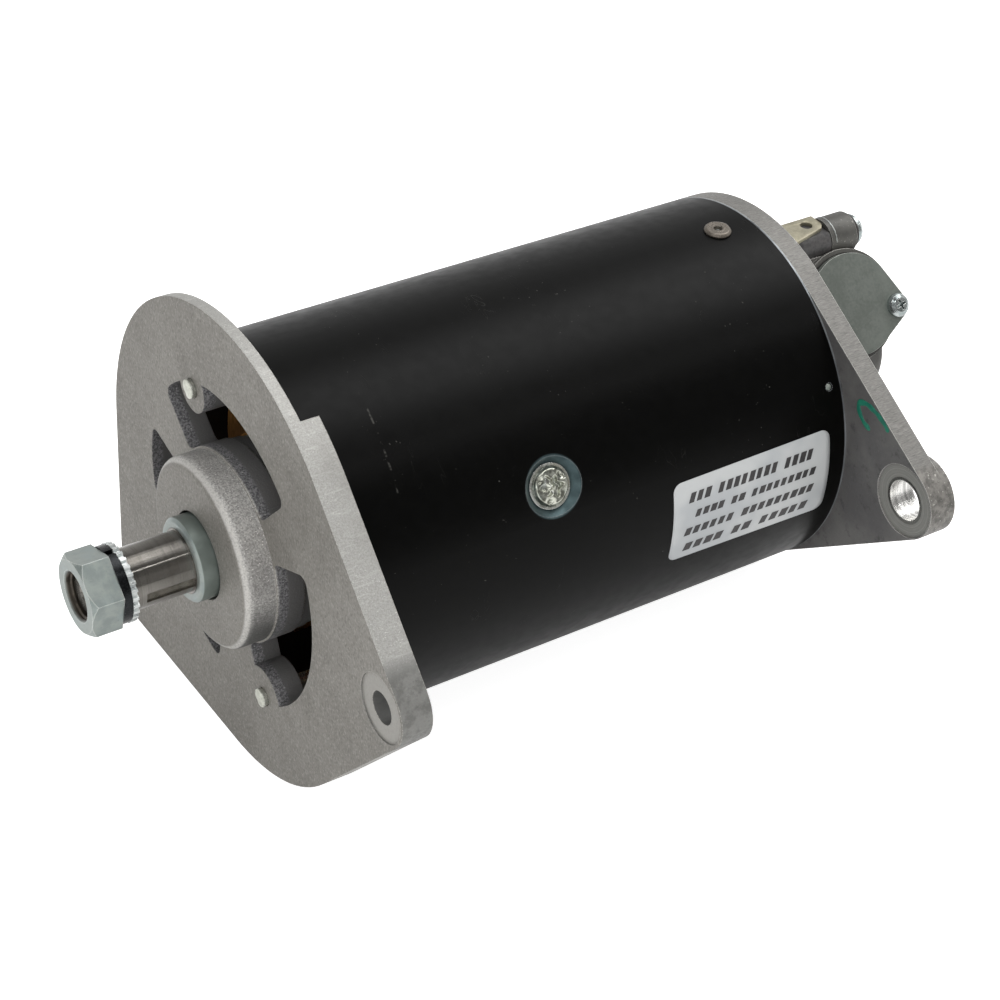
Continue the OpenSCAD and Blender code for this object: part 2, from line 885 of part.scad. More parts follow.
// Insulating moulding on the rear bracket, flat on top under the main blade
module terminal_block() {
    color([0.34, 0.31, 0.29])
        union() {
            difference() {
                translate([0, screw_boss_y, screw_boss_z])
                    rod(ce_x1, tower_x0 - seat_gap, screw_boss_r - 0.1);
                translate([ce_x1 - over, screw_boss_y - screw_boss_d, blade_z])
                    cube([blade_x1 - ce_x1 + 2 * over, 2 * screw_boss_d, screw_boss_d]);
            }
            translate([0, screw_boss_y, screw_boss_z])
                rod(yoke_x1 + 0.5, ce_x1 + eps, block_stem_r);
        }
}

module main_blade() {
    color([0.82, 0.79, 0.66])
        difference() {
            translate([0, 0, blade_z])
                linear_extrude(blade_t)
                    polygon([[blade_x0, blade_side], [blade_x1, blade_side],
                        [blade_x1, blade_side - blade_w * 0.49], [blade_x1 - 1.5, blade_side - blade_w * 0.68],
                        [blade_x1 - 13, blade_side - blade_w], [blade_x0, blade_side - blade_w]]);
            translate([blade_x1 - 4.5, blade_side - blade_w * 0.37, blade_z - over])
                cylinder(r = 1.7, h = blade_t + 2 * over);
        }
}

module terminal_washer() {
    color([0.16, 0.12, 0.09])
        translate([0, screw_boss_y, screw_boss_z])
            tube(tower_x1, tower_x1 + 1.3, 5, 2.1);
}

module terminal_screw() {
    color([0.8, 0.8, 0.78])
        translate([0, screw_boss_y, screw_boss_z])
            difference() {
                union() {
                    rod(tower_x0 + 1.5, tower_x1 + 1.3 + eps, 2);
                    turned([[0, tower_x1 + 1.3], [4.3, tower_x1 + 1.3], [4.3, tower_x1 + 2.8],
                        [3.6, tower_x1 + 3.8], [2.4, tower_x1 + 4.3], [0, tower_x1 + 4.4]]);
                }
                translate([tower_x1 + 3.2, -5, -0.5])
                    cube([3, 10, 1]);
            }
}

module locating_peg() {
    color([0.45, 0.44, 0.42])
        radial(peg_x, peg_angle)
            translate([0, 0, peg_in_r + 0.1])
                cylinder(r = peg_r, h = yoke_r - 0.4 - peg_in_r - 0.1);
}

module yoke_rivet() {
    color([0.68, 0.65, 0.58])
        radial(rivet_x, rivet_angle)
            difference() {
                union() {
                    translate([0, 0, bore_r - 2.4])
                        cylinder(r = rivet_r, h = yoke_r - bore_r + 2.8);
                    translate([0, 0, bore_r - 2.4])
                        cylinder(r = rivet_r + 0.9, h = 2);
                    translate([0, 0, yoke_r])
                        rotate_extrude()
                            polygon([[0, 0], [rivet_flange_r, 0], [rivet_flange_r, 0.35], [rivet_flange_r - 0.8, 0.9],
                                [0, 0.9]]);
                }
                translate([0, 0, yoke_r - 1.6])
                    cylinder(r = 1.2, h = 4);
            }
}

// Frame of the cross spindle: Z points out through the cover, X stays the shaft's direction
module cross() {
    radial(cross_x, cross_angle)
        translate([0, worm_centres, 0])
            children();
}

module at_cover_screws() {
    for (side = [0, 180])
        rotate(side - cover_turn)
            translate([cover_screw_out, 0, 0])
                children();
}

// Round slab with a lug for each of the two cover screws, joined by straight flanks
module cover_slab(grow, t) {
    big = cover_r + grow;
    small = cover_lug_r + grow;
    spread = acos((big - small) / cover_screw_out);
    inset = 0.02;
    tip_x = cover_screw_out + (small - inset) * cos(spread);
    tip_y = (small - inset) * sin(spread);
    side_x = big * cos(spread);
    side_y = (big - inset) * sin(spread);
    rotate(-cover_turn)
        union() {
            cylinder(r = big, h = t);
            for (side = [-1, 1])
                translate([side * cover_screw_out, 0, 0])
                    cylinder(r = small, h = t);
            linear_extrude(t)
                polygon([[side_x, side_y], [tip_x, tip_y], [tip_x, -tip_y], [side_x, -side_y], [-side_x, -side_y],
                    [-tip_x, -tip_y], [-tip_x, tip_y], [-side_x, side_y]]);
        }
}

// Casting that carries the cross spindle and the screw terminal
module tacho_housing() {
    tail_edge = tail_x1 - tail_round;
    color([0.4, 0.38, 0.36])
        difference() {
            union() {
                rod(ce_x1, ce_x1 + housing_flange_t, housing_flange_r);
                difference() {
                    turned([[0, ce_x1 + eps], [housing_r, ce_x1 + eps], [housing_r, housing_x1 - 2],
                        [housing_r - 2, housing_x1], [0, housing_x1]]);
                    cross()
                        translate([-housing_r * 2, -housing_r * 2, barrel_out - 0.8])
                            cube(housing_r * 4);
                }
                turned(concat([[0, housing_x1 - eps], [tail_r, housing_x1 - eps]],
                    [for (a = [0:18:90]) [tail_r - tail_round * (1 - cos(a)), tail_edge + tail_round * sin(a)]],
                    [[0, tail_x1]]));
                cross() {
                    translate([0, 0, barrel_in])
                        cylinder(r = barrel_r + barrel_step, h = barrel_out - slab_t - barrel_in);
                    translate([0, 0, barrel_out - slab_t - over]) {
                        cylinder(r = barrel_r, h = slab_t + over);
                        cover_slab(slab_grow, slab_t + over);
                    }
                    // Straight top that runs from the barrel to the bracket, stepped like the barrel
                    translate([ce_x1 - cross_x + eps, block_low, 0])
                        cube([cross_x - ce_x1 + 2, barrel_r + barrel_step - 0.05 - block_low, barrel_out - slab_t - 0.1]);
                    translate([ce_x1 - cross_x + eps, block_low + 1, 0])
                        cube([cross_x - ce_x1 + 2, barrel_r - 0.05 - block_low - 1, block_out]);
                    translate([0, 0, outlet_end])
                        cylinder(r = outlet_r, h = outlet_len + eps);
                }
                translate([0, screw_boss_y, screw_boss_z])
                    rod(tower_x0, tower_x1, screw_boss_r);
            }
            // Room for the bracket's boss, the shaft and the worm
            rod(ce_x1 - over, bush_x1 + 2.5, ce_boss_r + 0.1);
            rod(ce_x1, worm_x0 - seat_gap, shaft_tail_r + 2);
            rod(ce_x1, worm_x0 + worm_len + 1, worm_bore_r);
            cross() {
                translate([0, 0, -wheel_w / 2 - bush_gap - drive_bush_len])
                    cylinder(r = cross_bore_r, h = barrel_out * 2);
                translate([0, 0, outlet_end - over])
                    cylinder(r = outlet_bore_r, h = outlet_len - barrel_in);
                at_cover_screws()
                    translate([0, 0, barrel_out - cover_screw_in])
                        cylinder(r = cover_screw_r + 0.05, h = cover_screw_in + over);
            }
            // Groove for the insulating moulding, the hole of its screw and the face for its washer
            translate([0, screw_boss_y, screw_boss_z]) {
                rod(ce_x1 - over, tower_x0, screw_boss_r + 0.2);
                rod(tower_x0 + 1, tower_x1 + over, 2.05);
                rod(tower_x1, tower_x1 + 4.5, 5.3);
            }
            for (angle = housing_screw_angles)
                out_at(angle, housing_screw_out)
                    rod(ce_x1 - over, ce_x1 + housing_flange_t + over, housing_screw_r + 0.2);
        }
}

module tacho_housing_screws() {
    color([0.62, 0.62, 0.62])
        for (angle = housing_screw_angles)
            out_at(angle, housing_screw_out)
                difference() {
                    union() {
                        rod(ce_x1 - housing_screw_in + 0.3, ce_x1 + housing_flange_t + eps, housing_screw_r);
                        rod(ce_x1 + housing_flange_t, ce_x1 + housing_flange_t + 2.4, housing_screw_r + 1.3);
                    }
                    translate([ce_x1 + housing_flange_t + 1.5, -5, -0.45])
                        cube([2, 10, 0.9]);
                }
}

module tacho_gasket() {
    color([0.2, 0.18, 0.15])
        cross()
            translate([0, 0, barrel_out])
                difference() {
                    cover_slab(0.3, gasket_t);
                    translate([0, 0, -over])
                        cylinder(r = cross_bore_r + 0.4, h = gasket_t + 2 * over);
                    at_cover_screws()
                        translate([0, 0, -over])
                            cylinder(r = cover_screw_r + 0.2, h = gasket_t + 2 * over);
                }
}

module tacho_cover() {
    color([0.42, 0.45, 0.43])
        cross()
            translate([0, 0, cover_out - cover_t])
                difference() {
                    cover_slab(0, cover_t);
                    at_cover_screws()
                        translate([0, 0, -over])
                            cylinder(r = cover_screw_r + 0.2, h = cover_t + 2 * over);
                }
}

// Domed head of a cover screw, drawn as a profile and turned
module pan_head(r, h) {
    rotate_extrude()
        polygon([[0, 0], [r, 0], [r, h * 0.45], [r * 0.88, h * 0.75], [r * 0.6, h * 0.95], [0, h]]);
}

module tacho_cover_screws() {
    color([0.82, 0.83, 0.82])
        cross()
            at_cover_screws()
                difference() {
                    union() {
                        translate([0, 0, barrel_out - cover_screw_in + 0.5])
                            cylinder(r = cover_screw_r, h = cover_screw_in - 0.5 + gasket_t + cover_t + eps);
                        translate([0, 0, cover_out])
                            pan_head(cover_screw_r + 1.3, 2.3);
                    }
                    for (turn = [30, 120])
                        rotate(turn)
                            translate([-1.6, -0.35, cover_out + 0.9])
                                cube([3.2, 0.7, 3]);
                }
}

module tacho_bushes() {
    color([0.66, 0.48, 0.24])
        cross()
            difference() {
                union() {
                    translate([0, 0, -wheel_w / 2 - bush_gap - drive_bush_len])
                        cylinder(r = cross_bore_r - 0.05, h = drive_bush_len);
                    translate([0, 0, wheel_w / 2 + bush_gap])
                        cylinder(r = cross_bore_r - 0.05, h = barrel_out - seat_gap - wheel_w / 2 - bush_gap);
                }
                translate([0, 0, barrel_in])
                    cylinder(r = spindle_r + journal_gap, h = barrel_out - barrel_in - 2);
                // Clears the worm where it reaches into the cross bore
                translate([-cross_x, -worm_centres, 0])
                    rod(ce_x1, worm_x0 + worm_len + 1, worm_bore_r);
            }
}

module tacho_spindle() {
    color([0.6, 0.61, 0.62])
        cross()
            difference() {
                translate([0, 0, outlet_end + 4])
                    cylinder(r = spindle_r, h = barrel_out - 2.5 - outlet_end - 4);
                translate([-1.3, -1.3, outlet_end + 3])
                    cube([2.6, 2.6, 7]);
            }
}

// Half of the angle that a wheel tooth spans at radius r, for straight rack teeth at 20 degrees
function involute(a) = tan(a) * 180 / PI - a;
function tooth_half(r) = let (base_r = wheel_pitch_r * cos(20))
    90 / wheel_teeth + involute(20) - (r > base_r ? involute(acos(base_r / r)) : 0)
    - backlash / 2 / wheel_pitch_r * 180 / PI;

module tacho_wheel() {
    root_r = wheel_pitch_r - dedendum;
    tip_r = wheel_pitch_r + addendum;
    radii = [root_r, wheel_pitch_r * 0.94, wheel_pitch_r, (wheel_pitch_r + tip_r) / 2, tip_r];
    turn = wheel_w * worm_lead / 2 / PI / worm_pitch_r / wheel_pitch_r * 180 / PI;
    flank = [for (r = radii) [r, tooth_half(r)]];
    outline = [for (i = [0:wheel_teeth - 1]) let (mid = 360 / wheel_teeth * (i + 0.5) + 90)
        each concat(
            [for (p = flank) p[0] * [cos(mid - p[1]), sin(mid - p[1])]],
            [for (k = [len(flank) - 1:-1:0]) let (p = flank[k]) p[0] * [cos(mid + p[1]), sin(mid + p[1])]])];
    color([0.75, 0.72, 0.62])
        cross()
            difference() {
                rotate(turn / 2 * -1)
                    translate([0, 0, -wheel_w / 2])
                        linear_extrude(height = wheel_w, twist = -turn, slices = 8)
                            polygon(outline);
                translate([0, 0, -wheel_w])
                    cylinder(r = spindle_r + 0.02, h = 2 * wheel_w);
            }
}

// Half of the angle that a worm thread spans at radius r
function thread_half(r) = (PI * tooth_module / 4 - backlash / 2 - (r - worm_pitch_r) * tan(20))
    * 360 / worm_lead;

module drive_worm() {
    root_r = worm_pitch_r - dedendum;
    tip_r = worm_pitch_r + addendum;
    radii = [root_r, worm_pitch_r, tip_r];
    outline = [for (i = [0:worm_starts - 1]) let (mid = 360 / worm_starts * i)
        each concat(
            [for (r = radii) let (a = mid - thread_half(r)) r * [cos(a), sin(a)]],
            [tip_r * [cos(mid), sin(mid)]],
            [for (k = [2:-1:0]) let (r = radii[k], a = mid + thread_half(r)) r * [cos(a), sin(a)]],
            [let (a = mid + 180 / worm_starts) root_r * [cos(a), sin(a)]])];
    color([0.7, 0.7, 0.68])
        union() {
            rotate([cross_angle - 90, 0, 0])
                rotate([-worm_len / worm_lead * 180, 0, 0])
                    axial(worm_x0)
                        linear_extrude(height = worm_len, twist = -worm_len / worm_lead * 360, slices = 44, $fn = 24)
                            polygon(outline);
            rod(worm_x0 - worm_stem_in, worm_x0 + eps, worm_stem_r);
        }
}

module shaft() {
    color([0.5, 0.49, 0.48])
        difference() {
            union() {
                turned([[0, shaft_x0], [thread_d / 2 - 0.8, shaft_x0], [thread_d / 2, shaft_x0 + 0.8],
                    [thread_d / 2, seat_x], [seat_d / 2 - 0.6, seat_x], [seat_d / 2, seat_x + 0.6], [seat_d / 2, 0],
                    [bearing_bore / 2, 0], [bearing_bore / 2, bearing_x1], [bearing_bore / 2 + 1.6, bearing_x1],
                    [bearing_bore / 2 + 1.6, bearing_x1 + 3], [spine_r, bearing_x1 + 5], [spine_r, commutator_x1 + 1],
                    [journal_r, commutator_x1 + 2], [journal_r, bush_x1 + 1], [shaft_tail_r, bush_x1 + 2],
                    [shaft_tail_r, shaft_x1], [0, shaft_x1]]);
            }
            // Keyway of the pulley, open towards the collar
            radial(0, keyway_angle)
                translate([seat_x + 3, -keyway_w / 2, seat_d / 2 - keyway_t])
                    cube([-seat_x - 3, keyway_w, keyway_t + over]);
            turned([[0, shaft_x0 - over], [2.4 + over, shaft_x0 - over], [0.8, shaft_x0 + 1.6], [0.8, shaft_x0 + 4],
                [0, shaft_x0 + 4]]);
            rod(worm_x0 - worm_stem_in - 1, shaft_x1 + over, worm_stem_r + 0.02);
        }
}

module pulley_collar() {
    color([0.6, 0.64, 0.63])
        turned([[bearing_bore / 2 + 0.02, 0], [collar_d / 2 - 0.8, 0], [collar_d / 2, 0.8], [collar_d / 2, bearing_x0],
            [bearing_bore / 2 + 0.02, bearing_x0]]);
}

module toothed_washer() {
    r = washer_d / 2;
    teeth = 30;
    color([0.68, 0.71, 0.73])
        axial(toothed_x)
            linear_extrude(toothed_t)
                difference() {
                    polygon([for (i = [0:teeth - 1]) let (a = 360 / teeth * i) each [
                        r * [cos(a), sin(a)], r * [cos(a + 120 / teeth), sin(a + 120 / teeth)],
                        (r - 0.8) * [cos(a + 180 / teeth), sin(a + 180 / teeth)],
                        (r - 0.8) * [cos(a + 300 / teeth), sin(a + 300 / teeth)]]]);
                    circle(r = thread_d / 2 + 0.1);
                }
}

module spring_washer() {
    color([0.6, 0.62, 0.62])
        difference() {
            tube(spring_x, toothed_x, washer_d / 2 - 0.2, thread_d / 2 + 0.15);
            rotate([90, 0, 0])
                translate([spring_x - over, 0, -0.8])
                    rotate([0, 0, 0])
                        cube([spring_t + 2 * over, washer_d, 1.6]);
        }
}

module shaft_nut() {
    color([0.55, 0.58, 0.56])
        difference() {
            rotate([nut_turn, 0, 0])
                hexagon(nut_x, spring_x, nut_af);
            rod(nut_x - over, spring_x + over, thread_d / 2 + 0.05);
            turned([[0, nut_x - over], [thread_d / 2 + 0.7 + over, nut_x - over], [thread_d / 2, nut_x + 0.7],
                [0, nut_x + 0.7]]);
        }
}

// Laminated core with open slots
module armature_core() {
    color([0.33, 0.31, 0.3])
        axial(core_x0)
            linear_extrude(core_len)
                difference() {
                    circle(r = core_r);
                    circle(r = spine_r + 0.02);
                    for (i = [0:slot_count - 1])
                        rotate(360 / slot_count * i) {
                            translate([slot_in_r, -slot_w / 2])
                                square([core_r - 1.6 - slot_in_r, slot_w]);
                            translate([slot_in_r, -slot_w / 4])
                                square([core_r, slot_w / 2]);
                        }
                }
}

// Conductors in the slots and the bundles of turns at both ends of the core
module armature_winding() {
    bundle_r = core_r - 2.2;
    color([0.62, 0.32, 0.14])
        union() {
            for (i = [0:slot_count - 1])
                out_at(360 / slot_count * i, slot_in_r + 0.2)
                    translate([core_x0 - eps, 0, -slot_w / 2 + 0.2])
                        cube([core_len + 2 * eps, core_r - 2 - slot_in_r, slot_w - 0.4]);
            turned([[spine_r + 0.5, core_x0], [bundle_r, core_x0], [bundle_r + 0.4, core_x0 - 3],
                [bundle_r - 0.6, core_x0 - 7], [bundle_r - 4, core_x0 - winding_end + 2],
                [bundle_r - 8, core_x0 - winding_end], [spine_r + 3, core_x0 - winding_end + 0.5],
                [spine_r + 0.5, core_x0 - winding_end + 3]]);
            turned([[spine_r + 0.5, core_x1], [bundle_r, core_x1], [bundle_r + 0.2, core_x1 + 3],
                [bundle_r - 1.5, core_x1 + 8], [riser_r, riser_x0 - seat_gap - 1], [riser_r - 1.5, riser_x0 - seat_gap],
                [spine_r + 0.5, riser_x0 - seat_gap]]);
        }
}

// Copper bars with undercut slots, and the risers that the winding is joined to
module commutator() {
    color([0.72, 0.44, 0.26])
        difference() {
            union() {
                tube(commutator_x0, commutator_x1, commutator_r, commutator_in_r);
                tube(riser_x0, commutator_x0 + eps, riser_r, commutator_in_r);
            }
            for (i = [0:bar_count - 1])
                out_at(360 / bar_count * i, commutator_r - 0.8)
                    translate([riser_x0 - over, 0, -0.3])
                        cube([commutator_x1 - riser_x0 + 2 * over, 5, 0.6]);
        }
}

module commutator_hub() {
    color([0.25, 0.15, 0.09])
        tube(riser_x0, commutator_x1 + 0.8, commutator_in_r - 0.02, spine_r + 0.02);
}

yoke();
drive_end_bracket();
commutator_end_bracket();
pole_shoes();
field_coils();
pole_screws();
through_bolts();
bolt_spring_washers();
bearing_outer_race();
bearing_retainer();
retainer_rivets();
felt_ring();
felt_pressure_ring();
rear_bush();
brush_boxes();
box_insulators();
spring_posts();
terminal_block();
main_blade();
terminal_screw();
terminal_washer();
locating_peg();
yoke_rivet();
tacho_housing();
tacho_housing_screws();
tacho_gasket();
tacho_cover();
tacho_cover_screws();
tacho_bushes();
shaft();
pulley_collar();
toothed_washer();
spring_washer();
shaft_nut();
bearing_inner_race();
armature_core();
armature_winding();
commutator();
commutator_hub();
drive_worm();
bearing_balls();
bearing_cage();
brush_a();
brush_b();
spring_arm_a();
spring_arm_b();
tacho_wheel();
tacho_spindle();
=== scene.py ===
"""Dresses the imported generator: materials, fine pieces, light and camera.

The frame's origin is on the shaft's axis at the pulley's shoulder, and X points to the rear. Angles about the shaft
are in degrees from +Y towards +Z. Lengths are in metres, or in mm where a name or a note says so.
"""
import json
import math
import random

import bmesh
import bpy
from mathutils import Matrix, Vector


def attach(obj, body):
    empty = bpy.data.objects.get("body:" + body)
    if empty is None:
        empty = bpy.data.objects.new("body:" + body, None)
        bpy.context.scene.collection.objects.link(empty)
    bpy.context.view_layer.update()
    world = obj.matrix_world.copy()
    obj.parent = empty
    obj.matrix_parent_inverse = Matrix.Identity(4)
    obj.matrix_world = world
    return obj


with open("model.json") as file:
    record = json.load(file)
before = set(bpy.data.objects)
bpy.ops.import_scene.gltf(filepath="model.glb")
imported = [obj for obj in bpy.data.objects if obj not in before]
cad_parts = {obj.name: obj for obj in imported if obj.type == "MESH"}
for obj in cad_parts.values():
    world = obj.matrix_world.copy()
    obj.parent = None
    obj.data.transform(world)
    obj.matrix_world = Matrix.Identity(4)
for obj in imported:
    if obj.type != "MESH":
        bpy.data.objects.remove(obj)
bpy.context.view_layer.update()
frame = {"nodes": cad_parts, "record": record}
nodes = frame["nodes"]
slot_of = {s["node"]: s["material_slot"] for s in frame["record"]["subparts"]}

# Places on the generator: stations and radii in mm, angles in degrees
YOKE_RADIUS = 50.8
POLE_SCREW_X = 78.3
POLE_SCREW_ANGLES = {"seen": 152, "far": 332}
BOLT_END_X, BOLT_RADIUS = 12.0, 40.5
BOLT_ANGLES = {"top": 64, "low": 244}
RIVET_X, RIVET_ANGLE = 156.8, 92
PEG_X, PEG_ANGLE = 164.2, 151.0
TOWER_ANGLE, TOWER_RADIUS = 86.1, 34.9
# Holes of the lugs: angle and radius of their centres
PIVOT_HOLE = (177, 74)
ADJUSTER_HOLE = (268, 60)
REAR_HOLE = (175.6, 74)
# Label's corners on the yoke: station and angle
LABEL = ((112.3, 163.6), (162.5, 163.0), (162.9, 191.7), (112.2, 190.3))
# Camera, solved from the photograph: its place and its right, down and forward directions
EYE = Vector((-0.1964, -0.4138, 0.3661))
RIGHT = Vector((0.83912, -0.54149, 0.05162))
DOWN = Vector((-0.29266, -0.52943, -0.79627))
AHEAD = Vector((0.4585, 0.65307, -0.60273))
# The generator's middle, at which the lamps point
MIDDLE = Vector((0.09, 0.0, 0.0))
# Name, direction, distance, size and radiance of each lamp
LAMPS = (
    ("softbox_top", (0.459, 0.13, 0.875), 0.9, (0.9, 0.40), 2.0),
    ("softbox_wide", (0.459, 0.13, 0.875), 0.92, (0.9, 0.74), 1.45),
    ("softbox_line", (0.22, -0.50, 0.84), 1.0, (1.5, 0.020), 13.0),
    ("softbox_front", (-0.85, -0.35, 0.45), 0.9, (0.5, 0.5), 1.5),
    ("softbox_front_top", (-0.35, -0.10, 0.93), 0.9, (0.5, 0.4), 1.8),
    ("softbox_side", (-0.45, -0.85, 0.25), 0.9, (0.5, 0.5), 1.4),
)
X_AXIS = Vector((1, 0, 0))
FULL_TURN = 2 * math.pi
SHARP_ANGLE = math.radians(32)


def mm(*values):
    """Point given in mm."""
    return Vector(values) * 0.001


def tone(r, g, b):
    """Linear colour of an sRGB colour of 0 to 255."""
    lin = [c / 255 / 12.92 if c < 10.3 else ((c / 255 + 0.055) / 1.055) ** 2.4 for c in (r, g, b)]
    return (*lin, 1.0)


def around(x, angle, radius):
    """Point at station x, radius and angle about the shaft, all in mm and degrees."""
    a = math.radians(angle)
    return mm(x, radius * math.cos(a), radius * math.sin(a))


def outward(angle):
    """Direction away from the shaft at an angle."""
    return around(0, angle, 1).normalized()


def square_to(axis):
    """Two directions square to an axis and to each other."""
    side = X_AXIS if abs(axis.x) < 0.5 else Vector((0, 1, 0))
    one = (side - axis * side.dot(axis)).normalized()
    return one, axis.cross(one)


# ---------------------------------------------------------------- node trees
def feed(tree, socket, value):
    """Links an input to a socket or sets it to a constant. None leaves it alone."""
    if isinstance(value, bpy.types.NodeSocket):
        tree.links.new(value, socket)
    elif value is not None:
        socket.default_value = value


def join_node(tree, kind, values=(), **props):
    """New node of a tree, with its settings and the values of its inputs."""
    node = tree.nodes.new(kind)
    for key, value in props.items():
        setattr(node, key, value)
    for key, value in values.items() if isinstance(values, dict) else enumerate(values):
        feed(tree, node.inputs[key], value)
    return node


class Shading:
    """Node tree of a material or a world, built from sockets and constants."""

    def __init__(self, owner):
        owner.use_nodes = True
        self.tree = owner.node_tree
        self.tree.nodes.clear()

    def node(self, kind, values=(), **props):
        return join_node(self.tree, "ShaderNode" + kind, values, **props)

    def calc(self, op, *values):
        return self.node("Math", values, operation=op).outputs[0]

    def vec(self, op, a, b=None):
        n = self.node("VectorMath", [a, b], operation=op)
        return n.outputs["Value"] if op in ("LENGTH", "DOT_PRODUCT") else n.outputs[0]

    def spread(self, value, low, high, a=0.0, b=1.0):
        """a at the low end of a value and b at its high end, with a smooth step between."""
        return self.node("MapRange", [value, low, high, a, b], interpolation_type="SMOOTHSTEP").outputs[0]


class Graph(Shading):
    """Material of one principled shader, with the object's own coordinates at hand."""

    def __init__(self, name, **shader):
        self.mat = bpy.data.materials.new(name)
        super().__init__(self.mat)
        self.bsdf = self.node("BsdfPrincipled")
        self.node("OutputMaterial", [self.bsdf.outputs[0]])
        coord = self.node("TexCoord")
        self.here = coord.outputs["Object"]
        self.facing = coord.outputs["Normal"]
        self.x, self.y, self.z = self.node("SeparateXYZ", [self.here]).outputs
        self.set_shader(shader)

    def set_shader(self, shader):
        """Sets or links the shader's inputs, named with _ for a space, and returns the material."""
        for key, value in shader.items():
            feed(self.tree, self.bsdf.inputs[key.replace("_", " ")], value)
        return self.mat

    def join(self, x, y, z):
        return self.node("CombineXYZ", [x, y, z]).outputs[0]

    def noise(self, scale, detail=3.0, rough=0.5, at=None, stretch=None, skew=0.0):
        at = at or self.here
        if stretch:
            at = self.vec("MULTIPLY", at, stretch)
        values = {"Vector": at, "Scale": scale, "Detail": detail, "Roughness": rough, "Distortion": skew}
        return self.node("TexNoise", values).outputs[0]

    def mix(self, fac, a, b):
        return self.node("Mix", {0: fac, 6: a, 7: b}, data_type="RGBA").outputs[2]

    def level(self, fac, a, b):
        """Plain number between a and b, mixed as greys."""
        a, b = (v if isinstance(v, bpy.types.NodeSocket) else (v, v, v, 1.0) for v in (a, b))
        return self.mix(fac, a, b)

    def two_tone(self, noise, low, high, dark, light):
        """Dark at the low end of a noise and light at its high end."""
        return self.mix(self.spread(noise, low, high), dark, light)

    def stain(self, colour, tint, noise, low, high, amount):
        """Colour with nothing of a tint at the low end of a noise and an amount of it at the high end."""
        return self.mix(self.spread(noise, low, high, 0.0, amount), colour, tint)

    def gloss(self, noise, low, high):
        """Roughness that follows a noise from low to high."""
        return self.spread(noise, 0.3, 0.7, low, high)

    def chain(self, op, values):
        total = values[0]
        for value in values[1:]:
            total = self.calc(op, total, value)
        return total

    def highest(self, *values):
        return self.chain("MAXIMUM", values)

    def both(self, *values):
        """Product of all the values, which joins masks."""
        return self.chain("MULTIPLY", values)

    def less(self, value):
        return self.calc("SUBTRACT", 1.0, value)

    def within(self, value, edge, soft=0.0003):
        """1 below the edge and 0 above it."""
        return self.spread(value, edge - soft, edge + soft, 1.0, 0.0)

    def bump(self, height, distance, strength=1.0, under=None):
        """Normal of a height map, its distance in mm, laid over another normal."""
        values = {"Height": height, "Distance": distance * 0.001, "Strength": strength, "Normal": under}
        return self.node("Bump", values).outputs[0]

    def rounded(self, width):
        """Normal that turns smoothly over sharp edges within a width in mm."""
        return self.node("Bevel", {"Radius": width * 0.001}, samples=4).outputs[0]

    def edges(self, width, low=0.80, high=0.96):
        """1 on edges that stand out, within a width in mm, and 0 on flats and in inner corners."""
        bend = self.vec("DOT_PRODUCT", self.rounded(width), self.node("NewGeometry").outputs["Normal"])
        # An inner corner has other surfaces within three widths
        free = self.node("AmbientOcclusion", {"Distance": width * 0.003}, samples=4).outputs["AO"]
        return self.calc("MULTIPLY", self.spread(bend, low, high, 1.0, 0.0), self.spread(free, 0.6, 0.85))

    def normal_part(self, axis):
        """Part of the surface's normal along an axis, 0 for X and 2 for Z."""
        return self.node("SeparateXYZ", [self.facing]).outputs[axis]

    def facing_x(self):
        """How far the surface faces along X, to the front or the rear, from 0 to 1."""
        return self.calc("ABSOLUTE", self.normal_part(0))

    def radius(self):
        """Distance from the shaft's axis in metres."""
        return self.vec("LENGTH", self.join(0.0, self.y, self.z))

    def off_line(self, x, angle):
        """Distance in metres from the radial line at station x in mm and an angle."""
        a = math.radians(angle)
        rel = self.vec("SUBTRACT", self.here, (x * 0.001, 0, 0))
        return self.vec("LENGTH", self.vec("CROSS_PRODUCT", rel, (0, math.cos(a), math.sin(a))))

    def off_point(self, angle, radius):
        """Distance in metres, seen along the shaft, from a point at an angle and a radius in mm."""
        rel = self.vec("SUBTRACT", self.here, around(0, angle, radius))
        return self.vec("LENGTH", self.vec("MULTIPLY", rel, (0, 1, 1)))


# ---------------------------------------------------------------- materials
def plain(name, dark, light, metallic, rough, mottle, grain, bump=0.03, edge_wear_and_glint=None):
    """A surface with slow and fine variation of its colour, gloss and height, and light edges where asked, partly
    wear and partly a painted highlight.
    """
    g = Graph(name, Metallic=metallic)
    slow = g.noise(mottle, 4, 0.6)
    fine = g.noise(grain, 3, 0.6)
    blend = g.calc("ADD", g.calc("MULTIPLY", slow, 0.6), g.calc("MULTIPLY", fine, 0.4))
    colour = g.two_tone(blend, 0.36, 0.64, dark, light)
    if edge_wear_and_glint:
        # Painted highlight on the edges, partly wear
        colour = g.mix(g.both(g.edges(0.28), g.spread(slow, 0.30, 0.55, 0.4, 1.0)), colour, edge_wear_and_glint)
    return g.set_shader({"Base Color": colour, "Roughness": g.gloss(fine, *rough),
                         "Normal": g.bump(fine, bump, under=g.rounded(0.2) if edge_wear_and_glint else None)})


